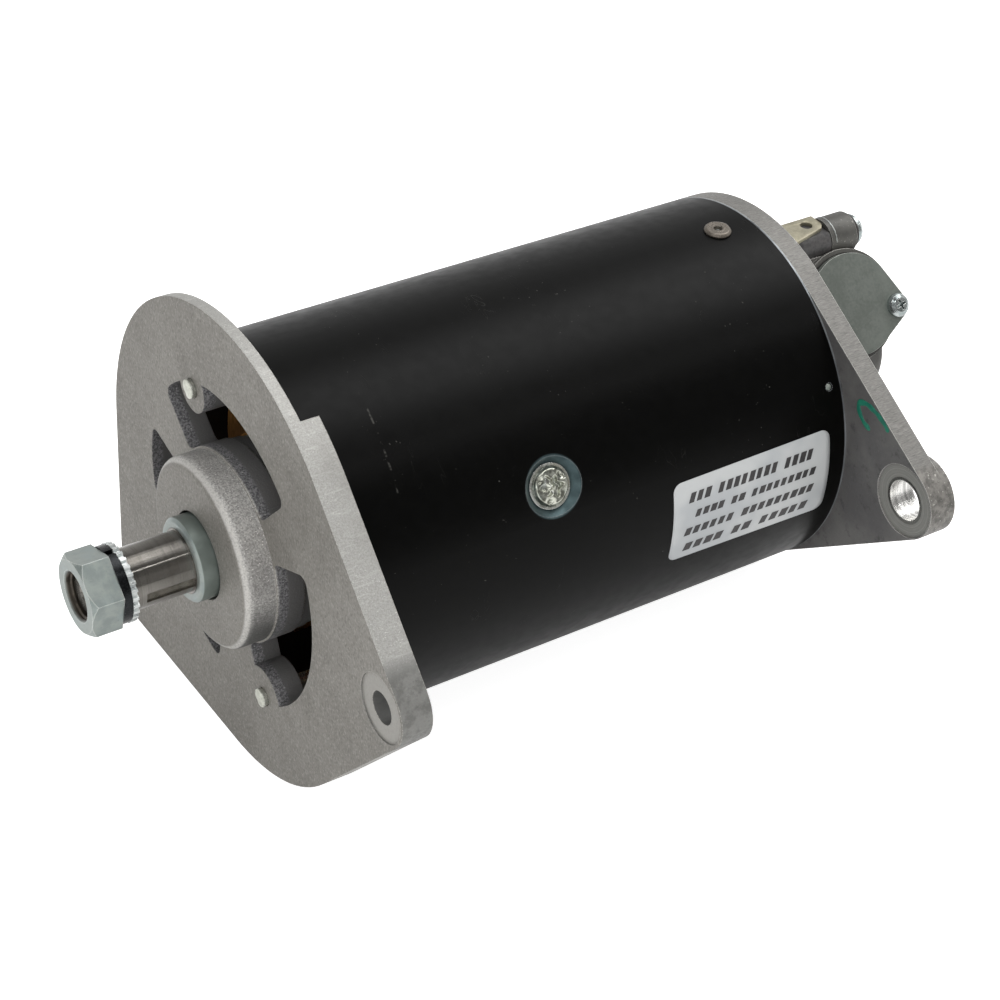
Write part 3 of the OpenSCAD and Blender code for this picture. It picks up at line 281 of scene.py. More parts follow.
def black_paint():
    """Gloss enamel with dust, hair scratches and a rub mark, bare steel where none was sprayed, light steel on the
    edges that is partly wear and partly a painted highlight, and a painted highlight on the rear lip.
    """
    sink_radius, bore_radius = 0.0079, 0.0499
    rear_lip = (0.16760, 0.16785)
    rub_x, rub_slope, rub_half = 0.0408, 0.08, 0.00022
    rub_start, rub_end, rub_foot = (-0.0395, -0.0380), -0.0165, (0.010, 0.012)
    g = Graph("black_paint", Specular_IOR_Level=0.08)
    cast = g.noise(25, 3, 0.55)
    skin = g.noise(420, 2, 0.5)
    dust = g.both(g.spread(g.noise(1300, 1, 0.5), 0.765, 0.79), g.spread(g.noise(45, 2), 0.46, 0.60))
    hair = g.noise(160, 2, 0.6, stretch=(1.6, 0.25, 0.4), skew=0.6)
    hair = g.calc("ABSOLUTE", g.calc("SUBTRACT", hair, 0.5))
    scratch = g.both(g.spread(hair, 0.0, 0.0022, 1.0, 0.0), g.spread(g.noise(70, 2), 0.62, 0.70))
    # A slanted mark round the upper front of the yoke, broken into dashes
    rub = g.calc("SUBTRACT", g.x, g.calc("ADD", rub_x, g.calc("MULTIPLY", g.y, rub_slope)))
    rub = g.both(g.within(g.calc("ABSOLUTE", rub), rub_half, 0.00012), g.spread(g.y, *rub_start),
                 g.within(g.y, rub_end), g.spread(g.z, *rub_foot), g.spread(g.noise(420, 2, 0.6), 0.50, 0.62))
    marks = g.highest(g.calc("MULTIPLY", dust, 0.30), g.calc("MULTIPLY", scratch, 0.12),
                      g.calc("MULTIPLY", rub, 0.22))
    colour = g.mix(cast, tone(3, 3, 3), tone(6, 6, 5))
    colour = g.mix(marks, colour, tone(120, 119, 114))
    # Steel shows in the countersinks and the bore is dull. Light steel on the edges is partly wear and partly a
    # painted highlight, and on the lip at the rear plate it is a painted highlight of the chamfer
    sink = g.highest(*[g.within(g.off_line(POLE_SCREW_X, a), sink_radius) for a in POLE_SCREW_ANGLES.values()])
    steel = g.mix(g.noise(500, 4), tone(46, 58, 61), tone(80, 96, 98))
    colour = g.mix(sink, colour, steel)
    inside = g.within(g.radius(), bore_radius)
    colour = g.mix(g.both(inside, g.less(sink)), colour, tone(34, 33, 32))
    # Painted highlight on the edges, partly wear to bare steel
    edge_wear_and_glint = g.both(g.edges(0.40), g.spread(g.noise(240, 3, 0.6), 0.30, 0.55, 0.55, 1.0))
    colour = g.mix(edge_wear_and_glint, colour, tone(152, 156, 158))
    # Painted highlight along the rear lip's chamfer, coloured as steel
    lip = g.both(g.spread(g.x, *rear_lip), g.less(inside), g.spread(g.noise(60, 3, 0.6), 0.30, 0.6, 0.25, 1.0))
    colour = g.mix(lip, colour, tone(150, 154, 157))
    metal = g.calc("MULTIPLY", g.highest(sink, edge_wear_and_glint, lip), 0.6)
    rough = g.gloss(g.noise(300, 3), 0.30, 0.37)
    specks = g.bump(g.calc("MAXIMUM", dust, scratch), 0.02, under=g.rounded(0.25))
    return g.set_shader({"Base Color": colour, "Metallic": metal, "Roughness": rough,
                         "Normal": g.bump(skin, 0.010, under=specks)})


def cast_front():
    """Drive end bracket: even blasted face, grainy window walls, a boss with painted glints and painted shade where
    it faces down, ground rim and pale webs, with painted highlights on the edges and the boss's front ridge, and
    painted shade in the lug holes.
    """
    boss_radius, boss_back, inner_radius = 0.0260, 0.0135, 0.0492
    web_front, web_back, edge_fade = (0.0118, 0.0130), (0.0155, 0.0165), (0.0122, 0.0132)
    hole_radius, spot_radius, tip_radius, patch_radius = 0.0062, 0.0086, 0.0112, 0.0128
    g = Graph("cast_aluminium", Metallic=0.4)
    slow = g.noise(38, 4, 0.6)
    mid = g.noise(210, 3, 0.6)
    fine = g.noise(1400, 4, 0.7)
    grain = g.noise(2000, 3, 0.65)
    # Painted glints: fine white specks that stand in for light catching the grain
    glint_specks = g.spread(g.noise(2700, 1, 0.5), 0.66, 0.72)
    radius = g.radius()
    pivot = g.off_point(*PIVOT_HOLE)

    face = g.two_tone(slow, 0.36, 0.64, tone(124, 121, 115), tone(136, 133, 127))
    face = g.stain(face, tone(160, 157, 150), g.noise(1500, 2, 0.55), 0.50, 0.66, 0.55)
    pits = g.noise(1250, 2, 0.55, stretch=(1, 1.3, 0.8))
    face = g.stain(face, tone(98, 95, 90), pits, 0.50, 0.66, 0.50)
    face = g.stain(face, tone(104, 101, 95), mid, 0.56, 0.72, 0.25)
    face = g.mix(g.both(g.within(pivot, spot_radius, 0.0012), 0.75), face, tone(166, 164, 159))

    wall = g.two_tone(grain, 0.38, 0.64, tone(92, 92, 94), tone(152, 151, 152))
    wall = g.mix(g.both(glint_specks, g.spread(mid, 0.45, 0.6)), wall, tone(214, 214, 212))

    # Painted shade: the boss's side is darker where it faces down
    side = g.two_tone(grain, 0.36, 0.64, tone(154, 152, 149), tone(206, 204, 200))
    side = g.stain(side, tone(116, 113, 111), slow, 0.40, 0.66, 0.45)
    side = g.mix(g.calc("MULTIPLY", glint_specks, 0.9), side, tone(244, 242, 238))
    side = g.mix(g.spread(g.normal_part(2), -0.45, 0.15, 0.9, 0.0), side, tone(84, 84, 82))

    rim = g.two_tone(g.noise(1700, 3, 0.6), 0.32, 0.68, tone(120, 118, 113), tone(146, 144, 139))
    rim = g.stain(rim, tone(164, 162, 157), g.noise(90, 3, 0.6), 0.50, 0.66, 0.4)
    web = g.two_tone(g.noise(2600, 3, 0.65), 0.32, 0.68, tone(150, 149, 145), tone(170, 169, 165))
    streaks = g.noise(1.0, 3, 0.6, stretch=(160, 1500, 1500), skew=0.2)
    web = g.stain(web, tone(186, 185, 181), streaks, 0.55, 0.70, 0.5)
    rim = g.mix(g.both(g.spread(g.x, *web_front), g.spread(slow, 0.30, 0.55, 0.6, 1.0)), rim, web)
    rim = g.mix(g.both(glint_specks, g.spread(slow, 0.4, 0.6), 0.6), rim, tone(214, 213, 209))
    # The pivot lug's tip is rougher and darker
    rim = g.mix(g.both(g.within(pivot, patch_radius, 0.0016), 0.8), rim, tone(114, 114, 111))
    stains = g.spread(g.noise(300, 4, 0.7), 0.44, 0.62, 0.0, 0.55)
    rim = g.mix(g.both(g.within(pivot, tip_radius, 0.0008), stains), rim, tone(88, 87, 84))

    # All that doesn't face forward, from the rim to the windows, the boss, the spigot's inside and the holes
    inner = g.within(radius, inner_radius, 0.0004)
    boss = g.both(g.within(radius, boss_radius, 0.0002), g.within(g.x, boss_back, 0.0002))
    cut = g.mix(inner, rim, wall)
    cut = g.mix(boss, cut, side)
    cut = g.mix(g.both(g.spread(g.x, *web_back), inner), cut, tone(112, 111, 110))
    # Painted shade: the walls of the lug holes are darker
    hole = g.calc("MINIMUM", pivot, g.off_point(*ADJUSTER_HOLE))
    cut = g.mix(g.within(hole, hole_radius), cut, tone(104, 104, 102))
    ahead = g.calc("MULTIPLY", g.normal_part(0), -1.0)
    is_face = g.spread(ahead, 0.75, 0.92)
    colour = g.mix(is_face, cut, face)
    # Painted highlight on the boss's rounded front edge
    ridge = g.both(boss, g.spread(ahead, 0.30, 0.55), g.spread(ahead, 0.78, 0.95, 1.0, 0.0))
    colour = g.mix(g.both(ridge, g.spread(grain, 0.30, 0.60, 0.35, 0.9)), colour, tone(198, 196, 191))

    # Painted highlights on the edges, brightest on the boss and the plate, and weaker on the webs and inside the
    # spigot
    bright = g.two_tone(grain, 0.42, 0.62, tone(150, 146, 139), tone(240, 236, 228))
    strong = g.highest(g.spread(g.x, *edge_fade, 0.9, 0.0), g.level(inner, 0.75, 0.3),
                       g.within(radius, boss_radius + 0.0002))
    edge = g.edges(0.35, 0.84, 0.985)
    colour = g.mix(g.both(edge, strong, g.spread(mid, 0.30, 0.55, 0.4, 1.0)), colour, bright)
    rough = g.gloss(fine, 0.44, 0.60)
    rugged = g.less(g.calc("MULTIPLY", is_face, 0.75))
    under = g.bump(grain, 0.10, rugged, under=g.rounded(0.45))
    return g.set_shader({"Base Color": colour, "Roughness": rough, "Normal": g.bump(fine, 0.05, 0.6, under=under)})


def cast_rear():
    """Commutator end bracket: dark cast face, a linished rim with cross scratches and a bored lug hole."""
    hole_radius, clear_radius, spot_radius = 0.0065, 0.0070, 0.0098
    tip_start = (0.0765, 0.0785)
    g = Graph("cast_rear")
    slow = g.noise(50, 4, 0.6)
    mid = g.noise(260, 4, 0.65)
    fine = g.noise(1300, 4, 0.7)
    hole = g.off_point(*REAR_HOLE)
    flat = g.spread(g.facing_x(), 0.6, 0.85)

    face = g.two_tone(slow, 0.34, 0.66, tone(91, 90, 90), tone(110, 109, 107))
    face = g.stain(face, tone(64, 63, 63), mid, 0.54, 0.72, 0.7)
    face = g.stain(face, tone(138, 136, 133), fine, 0.58, 0.75, 0.4)
    # A spot face with fine rings lies round the hole
    rings = g.spread(g.noise(2600, 2, 0.5, at=g.join(hole, 0.0, 0.0)), 0.3, 0.7)
    spot = g.within(hole, spot_radius, 0.0001)
    face = g.mix(spot, face, g.mix(rings, tone(122, 122, 118), tone(142, 142, 137)))

    lines = g.noise(1.0, 3, 0.7, stretch=(520, 6400, 6400), skew=0.3)
    edge = g.two_tone(lines, 0.26, 0.74, tone(93, 92, 89), tone(137, 135, 131))
    edge = g.stain(edge, tone(116, 112, 106), slow, 0.55, 0.7, 0.4)
    # The lug's tip is left as cast
    tip = g.both(g.spread(g.radius(), *tip_start), g.less(g.within(hole, clear_radius)))
    rugged = g.two_tone(g.noise(420, 4, 0.7), 0.36, 0.64, tone(92, 90, 86), tone(130, 127, 122))
    rugged = g.stain(rugged, tone(208, 205, 198), g.noise(1500, 2, 0.5), 0.66, 0.72, 0.6)
    edge = g.mix(tip, edge, rugged)
    bands = g.noise(1.0, 2, 0.5, stretch=(900, 120, 120))
    bored = g.two_tone(bands, 0.35, 0.65, tone(186, 185, 182), tone(240, 239, 236))
    bore = g.within(hole, hole_radius)
    edge = g.mix(bore, edge, bored)

    colour = g.mix(flat, edge, face)
    # Painted highlight on the edges, partly wear
    edge_wear_and_glint = g.both(g.edges(0.35, 0.84, 0.985), g.spread(mid, 0.30, 0.55, 0.5, 1.0))
    colour = g.mix(edge_wear_and_glint, colour, tone(214, 212, 207))
    rough = g.level(bore, g.gloss(fine, 0.42, 0.60), 0.22)
    under = g.bump(fine, 0.12, tip, under=g.rounded(0.35))
    under = g.bump(lines, 0.04, g.both(g.less(flat), g.less(tip)), under=under)
    metal = g.calc("ADD", 0.35, g.calc("MULTIPLY", bore, 0.55))
    return g.set_shader({"Base Color": colour, "Metallic": metal, "Roughness": rough,
                         "Normal": g.bump(fine, 0.05, 0.6, under=under)})


def turned_metal(name, dark, light, rough, lines, patina=None, patches=90, bump=0.02, grime=0.0, keyway=False):
    """Metal cut on a lathe about X: fine rings, with slow stains. The keyway's floor is painted light, a painted
    reflection.
    """
    seat_radius, seat_start = 0.0072, (-0.0190, -0.0185)
    g = Graph(name, Metallic=1.0, Anisotropic=1.0 if keyway else 0.0)
    rings = g.noise(lines, 3, 0.6, at=g.join(g.x, g.radius(), 0.0))
    slow = g.noise(patches, 3, 0.6)
    colour = g.two_tone(rings, 0.3, 0.7, dark, light)
    if keyway:
        # Painted reflection: the keyway's floor is light
        lit_keyway_floor = g.both(g.within(g.radius(), seat_radius), g.within(g.x, 0.0), g.spread(g.x, *seat_start))
        colour = g.mix(lit_keyway_floor, colour, tone(216, 213, 207))
    if patina:
        colour = g.stain(colour, patina, slow, 0.45, 0.68, 0.7)
    if grime:
        colour = g.stain(colour, tone(46, 42, 38), g.noise(patches * 4, 3, 0.6), 0.62, 0.74, grime)
    # On the ground shaft the gloss spreads along X
    return g.set_shader({"Base Color": colour, "Roughness": g.gloss(slow, *rough),
                         "Normal": g.bump(rings, bump, 0.6), "Tangent": g.join(1.0, 0.0, 0.0) if keyway else None})


def zinc(name, dark, light, tint, rough=(0.30, 0.45), scale=260, metallic=0.6):
    """Zinc plate with a faint bluish and yellowish bloom, painted shade on the collar's side and in the nut's bore,
    and light edges that are partly wear and partly a painted highlight.
    """
    collar_radius, collar_start, collar_end = 0.0115, (-0.0006, -0.0002), 0.0060
    nut_bore_radius, nut_end = 0.0064, -0.0190
    g = Graph(name, Metallic=metallic)
    slow = g.noise(scale, 3, 0.6)
    fine = g.noise(1500, 3, 0.6)
    colour = g.two_tone(slow, 0.32, 0.68, dark, light)
    bloom = g.noise(scale * 0.7, 2, 0.5, at=g.vec("ADD", g.here, (0.3, 0.1, 0.2)))
    colour = g.stain(colour, tint, bloom, 0.5, 0.7, 0.5)
    colour = g.stain(colour, tone(92, 98, 98), fine, 0.60, 0.76, 0.35)
    # Painted shade: the collar's side, away from its face, is darker
    collar = g.both(g.spread(g.x, *collar_start), g.within(g.x, collar_end), g.within(g.radius(), collar_radius),
                    g.spread(g.facing_x(), 0.3, 0.7, 1.0, 0.0))
    colour = g.mix(collar, colour, g.mix(slow, tone(98, 107, 102), tone(124, 132, 127)))
    # Painted shade: the nut's bore is dark
    bore = g.both(g.within(g.radius(), nut_bore_radius), g.within(g.x, nut_end))
    colour = g.mix(bore, colour, g.mix(slow, tone(58, 54, 48), tone(92, 86, 78)))
    # Painted highlight along the edges, partly wear
    edge_wear_and_glint = g.both(g.edges(0.32, 0.86, 0.985), g.spread(slow, 0.25, 0.5, 0.7, 1.0), g.less(bore))
    colour = g.mix(edge_wear_and_glint, colour, tone(238, 240, 236))
    brushed = g.noise(1.0, 3, 0.6, stretch=(500, 500, 4200))
    under = g.bump(slow, 0.02, 0.4, under=g.rounded(0.2))
    return g.set_shader({"Base Color": colour, "Roughness": g.gloss(slow, *rough),
                         "Normal": g.bump(brushed, 0.012, 0.5, under=under)})


def housing_metal():
    """Die-cast housing of the tachometer drive: warm grey with light flecks, and light edges that are partly wear and
    partly a painted highlight.
    """
    g = Graph("housing_metal", Metallic=0.4)
    slow = g.noise(110, 4, 0.6)
    fine = g.noise(1500, 4, 0.7)
    colour = g.two_tone(slow, 0.34, 0.66, tone(74, 73, 70), tone(93, 92, 88))
    fleck = g.both(g.spread(g.noise(1900, 2, 0.5), 0.66, 0.73), g.spread(slow, 0.4, 0.6, 0.1, 0.6))
    colour = g.mix(fleck, colour, tone(176, 173, 167))
    # Painted highlight on the edges, partly wear
    edge_wear_and_glint = g.both(g.edges(0.30), g.spread(slow, 0.30, 0.55, 0.3, 0.9))
    colour = g.mix(edge_wear_and_glint, colour, tone(204, 202, 196))
    under = g.bump(slow, 0.08, 0.5, under=g.rounded(0.3))
    return g.set_shader({"Base Color": colour, "Roughness": g.gloss(fine, 0.42, 0.56),
                         "Normal": g.bump(fine, 0.04, 0.7, under=under)})


def winding():
    """Enamelled copper, laid in turns that follow the shaft's turn."""
    g = Graph("winding", Metallic=0.35, Coat_Weight=0.4, Coat_Roughness=0.2)
    values = {"Vector": g.join(g.x, g.radius(), 0.0), "Scale": 300.0, "Distortion": 2.0, "Detail": 2.0}
    strands = g.node("TexWave", values, bands_direction="DIAGONAL").outputs[1]
    colour = g.mix(strands, tone(74, 34, 12), tone(168, 92, 36))
    return g.set_shader({"Base Color": colour, "Roughness": g.gloss(g.noise(300), 0.28, 0.45),
                         "Normal": g.bump(strands, 0.2, 0.6)})


def tape():
    """Varnished cotton tape wound round the field coils."""
    g = Graph("tape", Coat_Weight=0.35, Coat_Roughness=0.3)
    values = {"Vector": g.here, "Scale": 42.0, "Distortion": 1.0, "Detail": 1.0}
    wrap = g.node("TexWave", values, bands_direction="DIAGONAL", wave_profile="SAW").outputs[1]
    cloth = g.noise(1.0, 1, 0.5, stretch=(2400, 2400, 500))
    colour = g.two_tone(wrap, 0.1, 0.9, tone(128, 88, 42), tone(198, 146, 78))
    colour = g.stain(colour, tone(84, 54, 24), cloth, 0.4, 0.6, 0.4)
    return g.set_shader({"Base Color": colour, "Roughness": g.gloss(cloth, 0.4, 0.6),
                         "Normal": g.bump(wrap, 0.3, 0.7, under=g.bump(cloth, 0.05))})


def label_paper():
    """Matt label stock with faint fibres."""
    g = Graph("label_paper")
    fibre = g.noise(700, 3, 0.6)
    colour = g.two_tone(g.noise(50, 3), 0.4, 0.6, tone(165, 168, 170), tone(181, 183, 183))
    colour = g.stain(colour, tone(170, 170, 172), fibre, 0.6, 0.75, 0.2)
    return g.set_shader({"Base Color": colour, "Roughness": g.gloss(fibre, 0.3, 0.4),
                         "Normal": g.bump(fibre, 0.01)})


# plain() takes the metallic share, the roughness, the scales of mottle and grain, and the grain's height in mm.
# zinc() takes the bloom's tint, the roughness, the scale and the metallic share
materials = {
    "black_paint": black_paint(),
    "cast_aluminium": cast_front(),
    "cast_rear": cast_rear(),
    "housing_metal": housing_metal(),
    "shaft_steel": turned_metal("shaft_steel", tone(126, 123, 118), tone(144, 141, 136), (0.21, 0.24), 4200,
                                patina=tone(116, 112, 106), patches=120, bump=0.004, grime=0.12, keyway=True),
    "zinc_steel": zinc("zinc_steel", tone(138, 147, 144), tone(160, 167, 163), tone(150, 162, 162)),
    "screw_steel": zinc("screw_steel", tone(164, 166, 158), tone(206, 208, 200), tone(190, 184, 162),
                        (0.18, 0.32), 420, 0.85),
    "dark_steel": plain("dark_steel", tone(74, 72, 70), tone(106, 104, 101), 0.8, (0.35, 0.5), 90, 1100),
    "bearing_steel": turned_metal("bearing_steel", tone(160, 161, 163), tone(206, 207, 208), (0.1, 0.2), 5000),
    "brass": turned_metal("brass", tone(158, 124, 58), tone(206, 172, 98), (0.2, 0.35), 2600, tone(120, 88, 44)),
    "bronze": plain("bronze", tone(122, 82, 40), tone(172, 124, 70), 0.9, (0.35, 0.5), 160, 1500),
    "copper": turned_metal("copper", tone(150, 84, 52), tone(204, 132, 92), (0.2, 0.35), 3000, tone(92, 52, 36)),
    "winding": winding(),
    "tape": tape(),
    "insulation": plain("insulation", tone(30, 29, 28), tone(52, 49, 46), 0.0, (0.4, 0.6), 140, 1200),
    "moulding": plain("moulding", tone(50, 49, 50), tone(82, 80, 79), 0.0, (0.30, 0.5), 220, 1500, 0.05),
    "felt": plain("felt", tone(96, 86, 66), tone(146, 134, 108), 0.0, (0.85, 1.0), 300, 2400, 0.2),
    "carbon": plain("carbon", tone(28, 28, 30), tone(48, 48, 51), 0.2, (0.4, 0.6), 200, 2200),
    # The cover plate's light edge colour is partly wear and partly a painted highlight
    "cover_plate": plain("cover_plate", tone(103, 108, 102), tone(118, 123, 117), 0.45, (0.40, 0.50), 120, 1300,
                         0.015, edge_wear_and_glint=tone(206, 208, 202)),
    "blade_metal": plain("blade_metal", tone(142, 137, 117), tone(163, 157, 137), 0.6, (0.32, 0.45), 380, 1800,
                         0.02),
}
# Nodes that have a finish of their own
own = {
    "spring_washer": plain("black_steel", tone(20, 22, 24), tone(40, 42, 44), 0.7, (0.2, 0.32), 200, 1500, 0.01),
    "toothed_washer": zinc("washer_zinc", tone(186, 192, 192), tone(216, 220, 219), tone(206, 214, 216),
                           (0.22, 0.35)),
    # The rivet's light edge colour is partly wear and partly a painted highlight
    "yoke_rivet": plain("rivet_metal", tone(94, 88, 80), tone(118, 111, 102), 0.6, (0.26, 0.36), 90, 2400, 0.008,
                        edge_wear_and_glint=tone(214, 208, 198)),
    "locating_peg": plain("peg_metal", tone(120, 128, 122), tone(176, 182, 174), 0.5, (0.35, 0.5), 600, 1800),
}
own["tacho_cover_screws"] = own["terminal_screw"] = zinc(
    "bright_zinc", tone(148, 156, 155), tone(192, 198, 197), tone(172, 184, 186), (0.14, 0.26), 500, 0.95)
# Finishes of the fine pieces
star_metal = zinc("star_metal", tone(132, 133, 122), tone(206, 208, 196), tone(176, 186, 178), (0.14, 0.26), 700,
                  0.9)
# Dark steel of the nut's inner thread: a painted shade of the bore
thread_steel = plain("thread_steel", tone(56, 51, 45), tone(98, 90, 80), 0.6, (0.34, 0.5), 400, 1700)
pale_zinc = plain("pale_zinc", tone(186, 188, 176), tone(222, 223, 212), 0.6, (0.28, 0.42), 500, 1700)
rim_metal = plain("rim_metal", tone(140, 146, 146), tone(204, 207, 203), 0.7, (0.28, 0.42), 500, 1800)
green_paint = plain("green_paint", tone(16, 92, 76), tone(28, 116, 92), 0.0, (0.4, 0.55), 320, 1500)
label_ink = plain("label_ink", tone(34, 32, 34), tone(50, 46, 46), 0.0, (0.4, 0.6), 300, 2000, 0.005)

for name, node in nodes.items():
    node.data.materials.clear()
    node.data.materials.append(own.get(name) or materials[slot_of[name]])


# ---------------------------------------------------------------- edges of CAD nodes
def smooth_group():
    """Node group that drops imported normals, shades smooth and splits the shading at sharp edges."""
    tree = bpy.data.node_groups.new("smooth_by_angle", "GeometryNodeTree")
    for side in ("INPUT", "OUTPUT"):
        tree.interface.new_socket("Geometry", in_out=side, socket_type="NodeSocketGeometry")
    shape = join_node(tree, "NodeGroupInput").outputs[0]
    shape = join_node(tree, "GeometryNodeRemoveAttribute",
                      {"Geometry": shape, "Name": "custom_normal"}).outputs["Geometry"]
    shape = join_node(tree, "GeometryNodeSetShadeSmooth", {"Geometry": shape, "Shade Smooth": True},
                      domain="FACE").outputs["Geometry"]
    angle = join_node(tree, "GeometryNodeInputMeshEdgeAngle").outputs["Unsigned Angle"]
    soft = join_node(tree, "FunctionNodeCompare", [angle, SHARP_ANGLE], data_type="FLOAT",
                     operation="LESS_THAN").outputs["Result"]
    shape = join_node(tree, "GeometryNodeSetShadeSmooth", {"Geometry": shape, "Shade Smooth": soft},
                      domain="EDGE").outputs["Geometry"]
    join_node(tree, "NodeGroupOutput", [shape])
    return tree


def break_edges(name, width, group):
    """Rounds a CAD node's sharp edges to a width in mm, by modifiers alone."""
    node = nodes[name]
    weld = node.modifiers.new("weld", "WELD")
    weld.merge_threshold = 0.00001
    bevel = node.modifiers.new("edges", "BEVEL")
    bevel.width = width * 0.001
    bevel.segments = 2
    bevel.limit_method = "ANGLE"
    bevel.angle_limit = SHARP_ANGLE
    bevel.use_clamp_overlap = False
    shade = node.modifiers.new("shade", "NODES")
    shade.node_group = group


smooth_shading = smooth_group()
break_edges("pulley_collar", 0.15, smooth_shading)
break_edges("main_blade", 0.08, smooth_shading)


# ---------------------------------------------------------------- fine pieces
def piece(name, verts, faces, material, body, smooth=True, closed=True):
    """Mesh that rides on a body. A closed one has its normals turned outwards."""
    data = bpy.data.meshes.new(name)
    data.from_pydata([tuple(v) for v in verts], [], faces)
    data.validate()
    data.update()
    if closed:
        skin = bmesh.new()
        skin.from_mesh(data)
        bmesh.ops.recalc_face_normals(skin, faces=skin.faces)
        skin.to_mesh(data)
        skin.free()
    for polygon in data.polygons:
        polygon.use_smooth = smooth
    obj = bpy.data.objects.new(name, data)
    bpy.context.scene.collection.objects.link(obj)
    data.materials.append(material)
    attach(obj, body)


def relief(name, centre, out, radius, height, material, rings, spokes):
    """Round patch of a radius in mm, raised by height(r, a) in mm, with a skirt and a back. It is on the stator."""
    one, two = square_to(out)
    turns = [FULL_TURN * j / spokes for j in range(spokes)]
    rays = [one * math.cos(a) + two * math.sin(a) for a in turns]
    verts = [centre + out * height(0.0, 0.0) * 0.001]
    for i in range(1, rings + 1):
        r = radius * i / rings
        verts += [centre + (ray * r + out * height(r, a)) * 0.001 for ray, a in zip(rays, turns)]
    verts += [centre + ray * radius * 0.001 for ray in rays]
    faces = [(0, 1 + j, 1 + (j + 1) % spokes) for j in range(spokes)]
    for i in range(rings):
        a, b = 1 + i * spokes, 1 + (i + 1) * spokes
        for j in range(spokes):
            k = (j + 1) % spokes
            faces.append((a + j, b + j, b + k, a + k))
    faces.append(tuple(1 + rings * spokes + j for j in range(spokes)))
    piece(name, verts, faces, material, "stator")


def sweep(name, rings, material, body, smooth=False, loop=False):
    """Skin over rings of points, with its ends closed or joined to a loop."""
    n, m = len(rings[0]), len(rings)
    verts = [p for ring in rings for p in ring]
    faces = [(i * n + j, i * n + (j + 1) % n, (i + 1) % m * n + (j + 1) % n, (i + 1) % m * n + j)
             for i in range(m if loop else m - 1) for j in range(n)]
    if not loop:
        faces += [tuple(range(n)), tuple((m - 1) * n + j for j in range(n))]
    piece(name, verts, faces, material, body, smooth)


def thread(name, centre, axis, root, crest, start, end, pitch, material, body):
    """Helical ridge from a root radius to its crest, from start to end along an axis. Sizes in mm."""
    per_turn, run_out = 48, 14
    one, two = square_to(axis)
    half, flat = pitch * 0.44, pitch * 0.1
    steps = max(2, round((end - start) / pitch * per_turn))
    rings = []
    for i in range(steps + 1):
        at = start + (end - start) * i / steps
        a = FULL_TURN * (at - start) / pitch
        out = one * math.cos(a) + two * math.sin(a)
        top = root + (crest - root) * min(1.0, (i + 1) / run_out, (steps - i + 1) / run_out)
        rings.append([centre + (axis * (at + d) + out * r) * 0.001
                      for d, r in ((-half, root), (-flat, top), (flat, top), (half, root))])
    sweep(name, rings, material, body)


def on_label(u, v, lift):
    """Point of the label, lifted in mm: u runs along the shaft and v round the yoke, both 0 to 1."""
    (x0, a0), (x1, a1), (x2, a2), (x3, a3) = LABEL
    x = (x0 * (1 - u) + x1 * u) * (1 - v) + (x3 * (1 - u) + x2 * u) * v
    a = (a0 * (1 - u) + a1 * u) * (1 - v) + (a3 * (1 - u) + a2 * u) * v
    return around(x, a, YOKE_RADIUS + lift)


def label_sheet():
    """Paper label with rounded corners, wrapped on the yoke."""
    wide, high, corner, top, bottom = 50.4, 24.8, 2.6, 0.12, 0.005
    rows, cols = 48, 36
    row = cols + 1
    verts, faces = [], []
    for lift in (top, bottom):
        for j in range(rows + 1):
            v = 0.5 - 0.5 * math.cos(math.pi * j / rows)
            d = min(v, 1 - v) * high
            inset = corner - math.sqrt(max(corner**2 - (corner - d) ** 2, 0)) if d < corner else 0
            verts += [on_label((inset + (wide - 2 * inset) * i / cols) / wide, v, lift) for i in range(row)]
    under = (rows + 1) * row
    for j in range(rows):
        for i in range(cols):
            a = j * row + i
            faces.append((a, a + row, a + row + 1, a + 1))
            faces.append((under + a, under + a + 1, under + a + row + 1, under + a + row))
    border = list(range(row))
    border += [j * row + cols for j in range(1, rows + 1)]
    border += [rows * row + i for i in range(cols - 1, -1, -1)]
    border += [j * row for j in range(rows - 1, 0, -1)]
    for a, b in zip(border, border[1:] + border[:1]):
        faces.append((a, b, under + b, under + a))
    piece("label_sheet", verts, faces, label_paper(), "stator")


def label_marks():
    """Four rows of plain slanted blocks in place of print."""
    word_gap, lean_share, lift = 0.8, 0.16, 0.17
    rng = random.Random(7)
    # Each row: its v, its two ends in u, its half height in v and the blocks of its words
    rows = ((0.215, 0.10, 0.90, 0.058, (3, 8, 4)), (0.425, 0.14, 0.92, 0.044, (4, 2, 9)),
            (0.635, 0.08, 0.92, 0.048, (6, 9)), (0.850, 0.09, 0.90, 0.052, (4, 2, 5)))
    verts, faces = [], []
    for v, start, end, half, words in rows:
        unit = (end - start) / (sum(words) + word_gap * (len(words) - 1))
        lean = half * lean_share
        u = start
        for count in words:
            for _ in range(count):
                w = unit * rng.uniform(0.62, 0.80)
                base = len(verts)
                verts += [on_label(u + lean, v - half, lift), on_label(u + w + lean, v - half, lift),
                          on_label(u + w - lean, v + half, lift), on_label(u - lean, v + half, lift)]
                faces.append((base, base + 3, base + 2, base + 1))
                u += unit
            u += word_gap * unit
    piece("label_marks", verts, faces, label_ink, "stator", closed=False)


def ease(t):
    """Smooth step from 0 to 1."""
    t = min(max(t, 0.0), 1.0)
    return t * t * (3 - 2 * t)


def apart(a, b):
    """Angle between two directions in radians."""
    return abs((a - b + math.pi) % FULL_TURN - math.pi)


def dent(r, a, at_r, at_a, wide_r, wide_a):
    """Soft dent that is 1 at its middle, given by radius and angle."""
    return math.exp(-(((r - at_r) / wide_r) ** 2) - (apart(a, at_a) / wide_a) ** 2)


